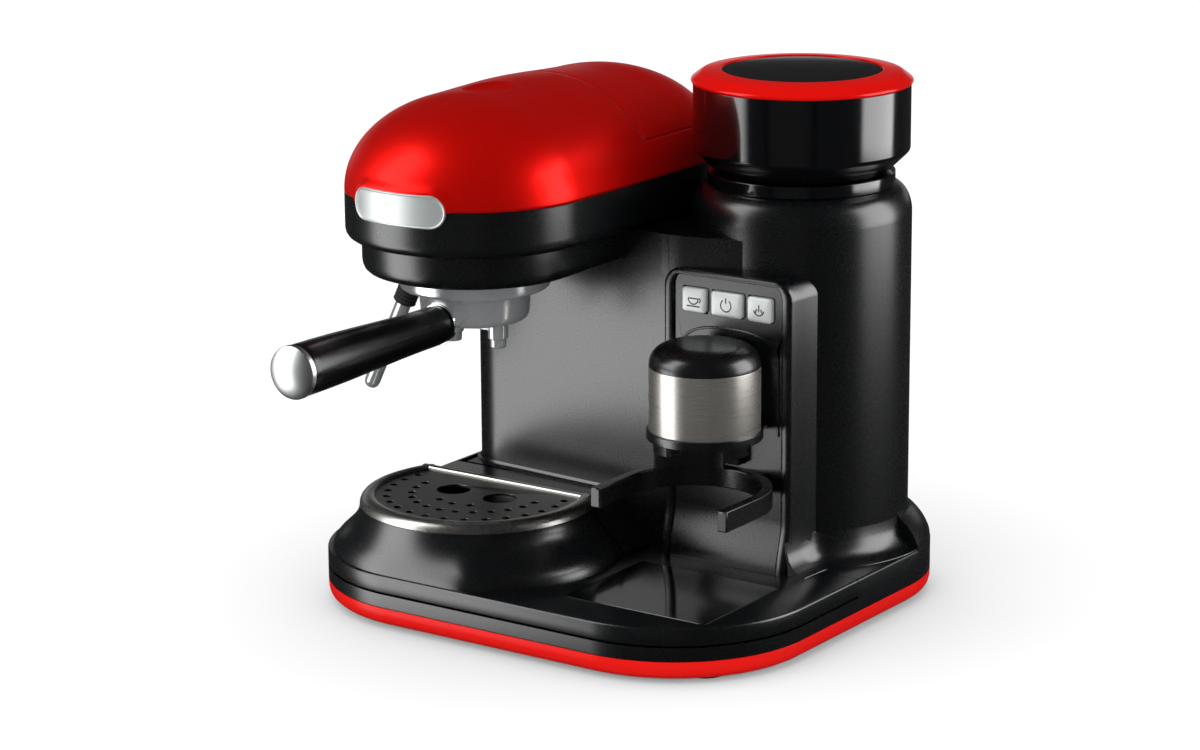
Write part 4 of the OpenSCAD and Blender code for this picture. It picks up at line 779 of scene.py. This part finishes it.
def makeRear():
    # wall, spreading foot and deck carried round the back's plan, from the tower to the left seam
    c, t, seam, split = column, tower, column["seam"] + 0.1, tower["split"] + 0.2
    leftCorner = (c["left"] + c["corner"], t["y"] + t["r"] - c["corner"], c["corner"], 90, 180)
    path, outward = arcLine([(t["x"], t["y"], t["r"], split, 90), leftCorner], 36)
    path = joined(path, [[c["left"], seam, 0]])
    outward = joined(outward, [[-1, 0, 0]])
    x = c["plateFrom"]
    plate = topPlate([[x, seam]], 174.6, 90, 30, [[x, t["y"] + t["r"] - 1]], (c["rearPlateLow"], c["high"]))
    # rounded foot: offset and height of its section, as it spreads to the base's edge
    section = [(-2, -0.2), (13.25, -0.2), (13.25, 0), (13.2, 1.2), (12.7, 3.2), (11.6, 5.8), (9.9, 8.8), (7.8, 11.6),
               (5.4, 14.2), (3.0, 16.2), (1.2, 17.6), (0.2, 19.0), (0, 20.5), (-2, 20.5)]
    foot = swept(path, outward, raised(section, band["deckTop"]), closed=False)
    rightCorner = (*baseArcs[2][:3], math.degrees(math.asin(c["seamPast"] / base["cornerRight"])), 90)
    arc, arcOut = arcLine([rightCorner, baseArcs[3]], 40)
    arc = joined(arc, [[base["left"], seam, 0]])
    arcOut = joined(arcOut, [[-1, 0, 0]])
    deck = stacked([arc - inset * arcOut + [0, 0, z] for inset, z in [(0, band["panTop"])] + deckEdge])
    crown = towerWall(t["openTop"], split, 174.5, 90)
    build("rear_shell", [wallAlong(path, outward), crown, plate, foot, deck], "satinBlackAbs", "rear_cover")


makeRear()
print("rear shell made")


hopper = dict(bore=36.0, foot=50.2, inFoot=48.0, slope=12.6, inSlope=15.2, wall=3.0)


def makeTowerTop():
    # sections (distance from the tower's axis, height) turned about it, from the shoulder up to the lid's window
    t = tower
    at = (t["x"], t["y"], 0)
    a = turns(0, 90, 22)
    inner, low, bore = t["ringR"] - 1, t["shoulderFrom"], t["bore"]
    shoulder = oval(a, t["r"] - t["ringR"] + 1, t["shoulder"], (inner, low))
    section = joined([(bore, low)], shoulder, [(bore, t["capTop"])])
    lathe("tower_shoulder", section, "satinBlackAbs", "tower_cap", at)
    ring = easeCorners(oblong(t["neckBore"], t["ringR"], t["ringLow"], t["ringTop"]), [0.2, 0.5, 0.5, 0.2])
    neck = oblong(t["neckBore"], t["neckR"], t["neckLow"], t["neckTop"])
    build("grind_ring_turned", [turned(ring, at, steps=160), turned(neck, at)], "glossBlackAbs", "grind_ring")
    r, foot, top = nodeRound("hopper")
    h, inner = hopper, r - hopper["wall"]
    shell = easeCorners([(h["bore"], foot + 0.1), (h["foot"], foot + 0.1), (r, foot + h["slope"]), (r, top),
                         (inner, top), (inner, foot + h["inSlope"]), (h["inFoot"], foot + 3), (h["bore"], foot + 3)],
                        [0.2, 0.8, 1.6, 0.4, 0.4, 1.5, 1.0, 0.2])
    lathe("hopper_turned", shell, "glossBlackAbs", "hopper", at, 180)
    lid, crown = nodeRound("hopper_lid")[::2]
    window, sill = nodeRound("lid_window")[:2]
    profile = easeCorners([(r - 6.5, top - 4.9), (r - 3.5, top - 4.9), (r - 3.5, top + 0.25), (lid - 0.6, top + 0.25),
                           (lid, top + 1.2), (lid, top + 2.2), (lid - 6.2, crown - 1.3), (window + 0.7, crown - 0.25),
                           (window + 0.2, crown - 0.9), (window + 0.2, top + 3), (window - 3, top + 3),
                           (window - 3, top + 1)], [0.3, 0.4, 0.3, 0.3, 0.5, 0.9, 1.4, 0.3, 0.2, 0.2, 0.2, 0.3])
    lathe("hopper_lid_turned", profile, "redGlossAbs", "hopper_lid", at, 180)
    glass = [(0, sill), (window - 0.3, sill), (window, sill + 0.3), (window, crown - 1.2), (window - 0.2, crown - 0.95)]
    glass += [(window * (1 - k), crown - 0.9 + 0.85 * k * (2 - k)) for k in np.linspace(0, 1, 10)[1:-1]]
    lathe("lid_window_turned", glass + [(0, crown - 0.05)], "smokedAcrylic", "lid_window", at)


makeTowerTop()
print("tower top made")

# the head: band with a floor round the tank, skirt under it, domed cover and tank lid over it
head = dict(r=74.0, back=125.0, low=221.0, rim=248.3, dome=55.0, ridge=0.03, ridgeAt=60.0,
            ridgeSpan=50.0, tail=0.04, tailFrom=40.0, lidY=75.0, lidZ=270.0, lidRow=15, dense=34.0, gap=0.3, shell=2.5,
            skirtBack=64.5, skirtBore=36.3)
hinge = dict(r=3.0, bore=1.3, half=14.0, middle=7.0, clear=0.4)
tankHole = dict(x=0.0, y=145.0, halfX=47.5, halfY=29.5)
recess = dict(y=16.0, halfX=14.0, halfY=16.5, depth=3.4, above=290.0)
brow = dict(half=22.5, r=9.5, out=2.0, near=0.6, far=5.2, inner=1.6)


def makeBand():
    # the band's section and the skirt's section carried round their plans, down to a floor with the tank's hole
    h, k, low, rim = head, tankHole, head["low"], head["rim"]
    path, outward = arcLine([(0, 0, h["r"], 180, 360), (0, h["back"], h["r"], 0, 180)], 90)
    loop = lambda inset, z: path - inset * outward + [0, 0, z]

    def hole(z):
        # each outline point drawn in to the tank's rectangle: d / max(|dx| / halfX, |dy| / halfY), d from its middle
        d = path[:, :2] - [k["x"], k["y"]]
        d = d / np.maximum(np.abs(d[:, 0]) / k["halfX"], np.abs(d[:, 1]) / k["halfY"])[:, None]
        return level(d + [k["x"], k["y"]], z)

    under = [(9.5, 0), (5.2, 0.1), (3.2, 0.6), (1.6, 1.7), (0.5, 3.4), (0.05, 5.4), (0, 7.5)]
    rows = [hole(low)] + [loop(inset, low + z) for inset, z in under]
    rows += [loop(0, rim - 0.6), loop(0.35, rim - 0.15), loop(3, rim - 0.15), loop(3, low + 3), hole(low + 3)]
    build("head_band_swept", [skin(np.stack(rows), wrapRows=True)], "satinBlackAbs", "head_band")
    r, z0, z1 = nodeRound("group_skirt")
    path, outward = arcLine([(0, 0, r, 180, 360)], 110)
    back = h["skirtBack"]
    path = joined(path, [[r, 30, 0], [r, back, 0], [-r, back, 0], [-r, 30, 0]])
    outward = joined(outward, [[1, 0, 0], [1, 0, 0], [-1, 0, 0], [-1, 0, 0]])
    inner = h["skirtBore"] * path / np.linalg.norm(path, axis=1, keepdims=True)
    low, top = z0 + 0.02, z1 - 0.1
    under = [(8, 0), (5.0, 0.15), (2.9, 0.9), (1.3, 2.4), (0.4, 4.6), (0, 7.5)]
    rows = [inner + [0, 0, low]] + [loop(inset, low + z) for inset, z in under] + [loop(0, top), inner + [0, 0, top]]
    build("skirt_swept", [skin(np.stack(rows), wrapRows=True)], "satinBlackAbs", "group_skirt")


makeBand()


def domeGrid(side):
    # columns run round the outline, rows rise from the rim to the ridge: r = head r x cos a, z = rim + height x sin a;
    # side is -1 for the cover and 1 for the lid, and shifts the seam lines half a gap each way
    h = head
    seamY, seamZ = h["lidY"] + side * h["gap"] / 2, h["lidZ"] + side * h["gap"] / 2
    front = turns(180, 360, 150)
    rear = turns(0, 180, 60)
    along = joined(np.linspace(0, h["dense"], 30)[1:], np.linspace(h["dense"], seamY, 15)[1:],
                   np.linspace(seamY, h["back"], 16)[1:-1])
    spineY = joined(np.zeros(len(front)), along, np.full(len(rear), h["back"]), along[::-1])
    c = joined(np.cos(front), np.ones(len(along)), np.cos(rear), -np.ones(len(along)))
    s = joined(np.sin(front), np.zeros(len(along)), np.sin(rear), np.zeros(len(along)))
    hump = lambda y: np.exp(-((y - h["ridgeAt"]) / h["ridgeSpan"]) ** 2)
    swell = hump(spineY) - hump(0)
    late = smooth((spineY - h["tailFrom"]) / (h["back"] - h["tailFrom"]))
    height = h["dome"] * (1 + h["ridge"] * swell - h["tail"] * late)
    lower = np.arcsin((np.linspace(h["rim"] + 0.05, seamZ, h["lidRow"] + 1)[:, None] - h["rim"]) / height)
    seam = np.arcsin((seamZ - h["rim"]) / height)
    a = joined(lower, seam + (np.pi / 2 - seam) * np.linspace(0, 1, 62)[1:, None])
    r, z = h["r"] * np.cos(a), h["rim"] + height * np.sin(a)
    # brow over the badge: pushed out by a smooth step of the distance from the badge's outline
    b = brow
    onFront = (np.arange(len(c)) < len(front))[None, :]
    arcLength = h["r"] * joined(front - 1.5 * np.pi, np.zeros(len(c) - len(front)))[None, :]
    d = np.hypot(np.maximum(np.abs(arcLength) - b["half"], 0), z - h["rim"]) - b["r"]
    inside = np.clip(d + b["inner"], 0, 1)
    r = r + b["out"] * smooth((b["far"] - d) / (b["far"] - b["near"])) * inside * onFront
    x, y = r * c, spineY + r * s
    # thumb dish on the ridge: depth sqrt(1 - q^2), q the distance over the dish's half sizes
    q = np.hypot(x / recess["halfX"], (y - recess["y"]) / recess["halfY"])
    z = z - recess["depth"] * np.sqrt(np.clip(1 - q * q, 0, 1)) * (z > recess["above"])
    return np.stack([x, y, z], -1), (spineY >= seamY - 1e-6)[None, :]


def makeDome():
    # cover and lid are two shares of one grid, split at the seam; each is thickened and gets its hinge knuckles
    h, r, bore, half = head, hinge["r"], hinge["bore"], hinge["middle"]
    hingeY, hingeZ = nodeBox("lid_hinge_pin").reshape(2, 3).mean(0)[1:]
    for side, name, node in ((-1, "domed_cover", "front_cover"), (1, "tank_lid_shell", "tank_lid")):
        grid, behind = domeGrid(side)
        rows, columns = grid.shape[:2]
        cells = np.array(quads(rows, columns, False, True)).reshape(rows - 1, columns, 4)
        isLid = (np.arange(rows - 1) >= h["lidRow"])[:, None] & behind & np.roll(behind, -1, 1)
        cells = cells[isLid if side > 0 else ~isLid]
        used, faces = np.unique(cells, return_inverse=True)
        shell = build(name, [(grid.reshape(-1, 3)[used], faces.reshape(-1, 4).tolist())], "redLacquer", node, sharp=50)
        wall = shell.modifiers.new("wall", "SOLIDIFY")
        wall.thickness, wall.offset = h["shell"] * mm, -1
        outer = half + hinge["clear"]
        spans = [(-half, half)] if side > 0 else [(-hinge["half"], -outer), (outer, hinge["half"])]
        low, high = (h["lidZ"] + 0.1, hingeZ + 2.6) if side > 0 else (hingeZ - 2.8, h["lidZ"] - 0.5)
        arm = oblong(hingeY - 6, hingeY - 1.4, low, high)
        parts = []
        for xa, xb in spans:
            profile = easeCorners(oblong(bore, r, 0, xb - xa), [0.1, 0.3, 0.3, 0.1])
            parts.append(turned(profile, (xa, hingeY, hingeZ), (1, 0, 0), steps=40))
            parts.append(blockAlong(arm, xa, xb, axis=0))
        build(node + "_knuckle", parts, "redLacquer", node)


makeDome()


def makeBadge():
    # stadium-shaped plate bent round the head: (s, z) goes to (R sin(s / R), -R cos(s / R), z)
    def loop(inset, radius):
        # the stadium drawn in by the inset, at a radius from the group axis
        a = turns(-90, 90, 20)
        r, half = max(brow["r"] - inset, 0), brow["half"]
        flat = np.linspace(-half, half, 24)[1:-1]
        right = oval(a, r, r, (half, 0))
        top = np.column_stack([flat[::-1], np.full(22, r)])
        bottom = np.column_stack([flat, np.full(22, -r)])
        p = joined(right, top, -right, bottom)
        turn = p[:, 0] / head["r"]
        return np.column_stack([radius * np.sin(turn), -radius * np.cos(turn), head["rim"] + p[:, 1]])

    edge = [(brow["r"], 0.15), (0.2, 0.15), (0, 0.4), (0, 1.5), (0.2, 1.9), (0.6, 2.1), (1.0, 1.95), (1.3, 1.6),
            (1.8, 1.5), (3, 1.5), (6, 1.5), (brow["r"], 1.5)]
    rows = [loop(inset, head["r"] + out) for inset, out in edge]
    build("badge_plate", [skin(np.stack(rows), caps=False)], "pearlLacquer", "badge")


makeBadge()
print("head made")

# brewing group, filter holder and handle; lengths along the handle run forwards from the group axis
holder = dict(r=32.6, low=170.8, high=198.5, bottom=6.0, axisZ=174.0, wall=3.0,
              neck=[(26, 16.5, 11.2, 182.5), (30, 15.4, 10.8, 181.2), (31.6, 13.6, 10.4, 179.4),
                    (33, 12.2, 10.0, 177.2), (34.6, 11.4, 9.8, 175.2)])
spout = dict(x=16.0, tip=155.4, barLow=165.8, barHigh=170.9)
gripLine = [(36.4, 10.6), (37.2, 11.1), (39, 11.35), (48, 11.45), (62, 11.7), (78, 12.2), (95, 12.9), (112, 13.6),
            (128, 14.2), (145, 14.6), (158, 14.75), (162.0, 14.7), (163.3, 14.3)]
capLine = [(163.4, 0.0), (163.4, 14.7), (163.9, 15.1), (166.2, 15.1), (166.9, 14.85), (167.4, 14.2), (168.3, 12.4),
           (169.4, 9.4), (170.3, 6.0), (170.8, 2.8), (170.95, 0.0)]


def makeHolder():
    # turned ring and cup with a neck of stacked ellipses, a twin spout, and the handle turned about a level axis
    f = holder
    r, z0, z1 = nodeRound("group_ring")
    ear, floor, high, cup, bore = f["r"] + 0.45, f["low"], f["high"], f["r"], f["r"] - f["wall"]
    ring = easeCorners([(ear, z0), (r - 1.2, z0), (r, z0 + 1.4), (r, z1), (ear, z1)], [0.4, 0.8, 0.8, 0.2, 0.4])
    lathe("group_ring_turned", ring, "polishedCasting", "group_ring", steps=140)
    bowl = easeCorners([(0, floor), (cup - 1.2, floor), (cup - 0.2, floor + 17), (cup, high), (bore, high),
                        (bore - 0.6, floor + 3.2), (0, floor + 3.2)], [0, f["bottom"], 3, 0.5, 0.5, 5, 0], steps=8)
    # neck from the cup to the ferrule: ellipses (half across, half up) carried forwards
    turn = turns(0, 360, 40, endpoint=False)
    neck = [upright(oval(turn, across, up, (0, z)), -forward) for forward, across, up, z in f["neck"]]
    build("filter_holder_cast", [turned(bowl, steps=140), stacked(neck)], "polishedCasting", "filter_holder", sharp=40)
    s, tip, high = spout, spout["tip"], spout["barHigh"]
    nozzle = easeCorners([(0, high), (5.9, high), (5.9, tip + 5.6), (4.9, tip + 5.2), (4.7, tip), (3.4, tip),
                          (3.2, tip + 4), (0, tip + 4)], [0, 1.2, 0.5, 0.3, 1.2, 0.3, 0.3, 0])
    parts = [turned(nozzle, (x, 0, 0), steps=60) for x in (-s["x"], s["x"])]
    middle = [0, (s["barLow"] + high) / 2]
    bar = roundedBox(2 * s["x"], high - s["barLow"], 1.6)
    parts.append(stacked([upright(bar * k + middle, y) for y, k in ((-5.0, 0.9), (-4.6, 1), (4.6, 1), (5.0, 0.9))]))
    build("twin_spout_cast", parts, "polishedCasting", "twin_spout", sharp=40)
    axis = dict(origin=(0, 0, f["axisZ"]), axis=(0, -1, 0), steps=110)
    collar = easeCorners([(6, 33.2), (11.6, 33.2), (12.2, 36.3), (6, 36.3)], [0.1, 0.7, 0.5, 0.1])
    lathe("ferrule_turned", collar, "chromePlate", "handle_ferrule", **axis)
    grip = [(0, gripLine[0][0])] + [(r, h) for h, r in gripLine] + [(0, gripLine[-1][0])]
    lathe("grip_turned", grip, "buffedPhenolic", "handle_grip", **axis)
    lathe("handle_cap_turned", [(r, h) for h, r in capLine], "satinAluminium", "handle_cap", **axis)


makeHolder()
smoothCopy("filter_basket", "flatBrushedSteel", 0)
print("filter holder made")

# steam wand under the band's left front, and the fluted knob above it
wand = dict(x=-51.3, y=13.0, z=192.0, lean=(-0.438, 0.0, -0.899), length=86.0, r=4.7, collarFrom=14.0,
            collarTo=24.0, collarR=7.0, joint=8.6, jointLow=195.1, jointTop=200.9, ball=7.1, ribDeep=0.35, ribEvery=2.5)
knob = dict(flutes=16, deep=0.55)


def makeWand():
    # joint, leaning tube with its ball and ribbed sleeve (radius waves as a cosine of the height), and the knob
    w, long, r = wand, wand["length"], wand["r"]
    joint = easeCorners(oblong(0, w["joint"], w["jointLow"], w["jointTop"]), [0, 1.2, 0.2, 0])
    lathe("wand_joint_turned", joint, "polishedCasting", "wand_joint", (w["x"], w["y"], 0), 70)
    tube = [(0, -1), (r, -1), (r, long - 4), (r - 0.5, long - 1.6), (r - 1.6, long - 0.2), (1.2, long), (1.0, long - 3),
            (0, long - 3)]
    ball = [(w["ball"] * math.sin(t), -w["ball"] * math.cos(t)) for t in np.linspace(math.radians(65), math.pi, 14)]
    axis = dict(origin=(w["x"], w["y"], w["z"]), axis=w["lean"], steps=64)
    parts = [turned(tube, **axis), turned([(0, ball[0][1])] + ball, **axis)]
    build("steam_wand_turned", parts, "polishedCasting", "steam_wand")
    h = np.linspace(w["collarFrom"], w["collarTo"], 41)
    rib = w["collarR"] - w["ribDeep"] + w["ribDeep"] * np.cos((h - w["collarFrom"]) * 2 * np.pi / w["ribEvery"])
    ribs = np.column_stack([np.clip(rib, 0, w["collarR"] - 0.02), h])
    sleeve = joined([[r + 0.02, h[0]]], ribs, [[r + 0.02, h[-1]]])
    lathe("wand_sleeve", sleeve, "blackRubber", "steam_wand", **axis)
    x0, y0, z0, x1, y1, z1 = nodeBox("steam_knob")
    r, along, y, z = (z1 - z0) / 2, x1 - x0, (y0 + y1) / 2, (z0 + z1) / 2
    a = turns(0, 360, 192, endpoint=False)
    # flutes: radius less 2.2 x deep x (1 - |cos(n a / 2)|)^2, fading at both ends
    cut = (1 - np.abs(np.cos(knob["flutes"] * a / 2))) ** 2 * knob["deep"] * 2.2
    shape = [(1.4, 0.05, 0), (0.2, 0.6, 0.2), (0, 1.6, 1), (0, along - 2.6, 1), (0.25, along - 1.4, 0.8),
             (0.9, along - 0.55, 0.3), (2.0, along - 0.15, 0), (3.2, along - 0.1, 0), (3.7, along - 0.7, 0),
             (6, along - 0.8, 0)]
    rows = []
    for inset, h, fade in shape:
        reach = r - inset - fade * cut
        rows.append(np.column_stack([np.full(len(a), x1 - h), y + reach * np.cos(a), z + reach * np.sin(a)]))
    build("steam_knob_fluted", [skin(np.stack(rows))], "satinBlackAbs", "steam_knob", sharp=40)


makeWand()
print("wand and knob made")

# grounds outlet: sleeve, cap with its neck to the panel, claws under the sleeve, lever and fork
outlet = dict(x=140.0, y=28.0, wall=2.0, bulge=-0.3, rise=0.9)


def makeOutlet():
    # the cap's shoulder is pushed out: a distance d from the axis becomes r (d / r)^0.7, and a rise z becomes 0.9 z
    o = outlet
    r, z0, z1 = nodeRound("outlet_sleeve")
    sleeve = easeCorners(oblong(r - o["wall"], r, z0, z1), 0.3)
    lathe("sleeve_turned", sleeve, "roundBrushedSteel", "outlet_sleeve", (o["x"], o["y"], 0), 150)
    for node in ("outlet_collar", "dispenser_fork", "grind_lever"):
        smoothCopy(node, "satinBlackAbs", 0.8)
    cap = smoothCopy("outlet_cap", "satinBlackAbs", 0.5)
    points = getPoints(cap.data.vertices)
    out = points[:, :2] - [o["x"], o["y"]]
    reach = np.maximum(np.linalg.norm(out, axis=1), 0.001)
    top = (points[:, 2] > z1 + 0.1) & (reach < r)
    points[top, :2] = [o["x"], o["y"]] + (out * (reach / r)[:, None] ** o["bulge"])[top]
    points[top, 2] = z1 + o["rise"] * (points[top, 2] - z1)
    setPoints(cap.data, points)


makeOutlet()
buttons = dict(round=2.0, line=0.8, grow=1.3)


def ribbon(points, width):
    # outline of a flat band along (across, up) points: out on one side of them and back on the other
    p = np.asarray(points, float)
    on = np.gradient(p, axis=0)
    across = np.column_stack([on[:, 1], -on[:, 0]]) / np.linalg.norm(on, axis=1, keepdims=True) * width / 2
    return joined(p + across, (p - across)[::-1])


def makeButtons():
    # domed caps of rounded rectangles, one inside the other, and flat signs just proud of them
    b = buttons
    arc = lambda x, y, r, a0, a1, n=20: oval(turns(a0, a1, n), r, r, (x, y))
    # generic signs: a cup with a handle, a power ring, a steam jet
    signs = {
        "brew_button": [arc(0, 0.9, 2.6, 180, 360), arc(2.7, 0.3, 1.0, -80, 80, 10), [(-2.6, 0.9), (2.6, 0.9)],
                        [(-3.4, -2.6), (3.4, -2.6)]],
        "power_button": [arc(0, -0.2, 2.7, 125, 415, 30), [(0, 0.6), (0, 3.2)]],
        "steam_button": [arc(0, 0.2, 2.6, 190, 350), arc(-0.3, -0.9, 1.3, 110, 200, 8), arc(0.3, -0.9, 1.3, 70, -20, 8),
                         [(0, -0.8), (0, 2.4)]],
    }
    for node, marks in signs.items():
        x0, y0, z0, x1, y1, z1 = nodeBox(node)
        middle, w, h = [(x0 + x1) / 2, (z0 + z1) / 2], x1 - x0, z1 - z0
        cap = lambda inset: roundedBox(w - 2 * inset, h - 2 * inset, max(b["round"] - inset * 0.35, 0.4)) + middle
        depths = [(0, 1.1), (0.08, 0.7), (0.35, 0.42), (0.9, 0.25), (2.0, 0.12), (4.0, 0.04), (6.5, 0.02)]
        rows = [upright(cap(0), y1 - 0.02)] + [upright(cap(inset), y0 + deep) for inset, deep in depths]
        build(node + "_cap", [stacked(rows)], "silverLacquer", node, sharp=50)
        flats = [ribbon(np.asarray(points) * b["grow"], b["line"]) + middle for points in marks]
        parts = [stacked([upright(flat, y0 + deep) for deep in (0.06, 0.001)]) for flat in flats]
        build(node + "_sign", parts, "greyInk", (), rideOn=bodyOf[node])


makeButtons()
print("outlet and buttons made")

# parts whose CAD shape is kept: nodes by finish
kept = {
    "blackRubber": "feet cord_inlet tank_seat pump_mounts suction_hose group_gasket",
    "satinBlackAbs": "bottom_plate grind_switch grounds_chute grinder_gearbox burr_chamber",
    "machinedSteel": "base_screws grinder_motor burr_shaft inner_burr outer_burr lid_hinge_pin pressure_pipe",
    "greenBoard": "control_board", "clearSan": "water_tank", "plainBrass": "pump", "polishedCasting": "boiler",
    "flatBrushedSteel": "shower_screen",
}
for finish, nodes in kept.items():
    for node in nodes.split():
        for slot in frame["nodes"][node].material_slots:
            slot.material = paint[finish]
print("inner parts finished")
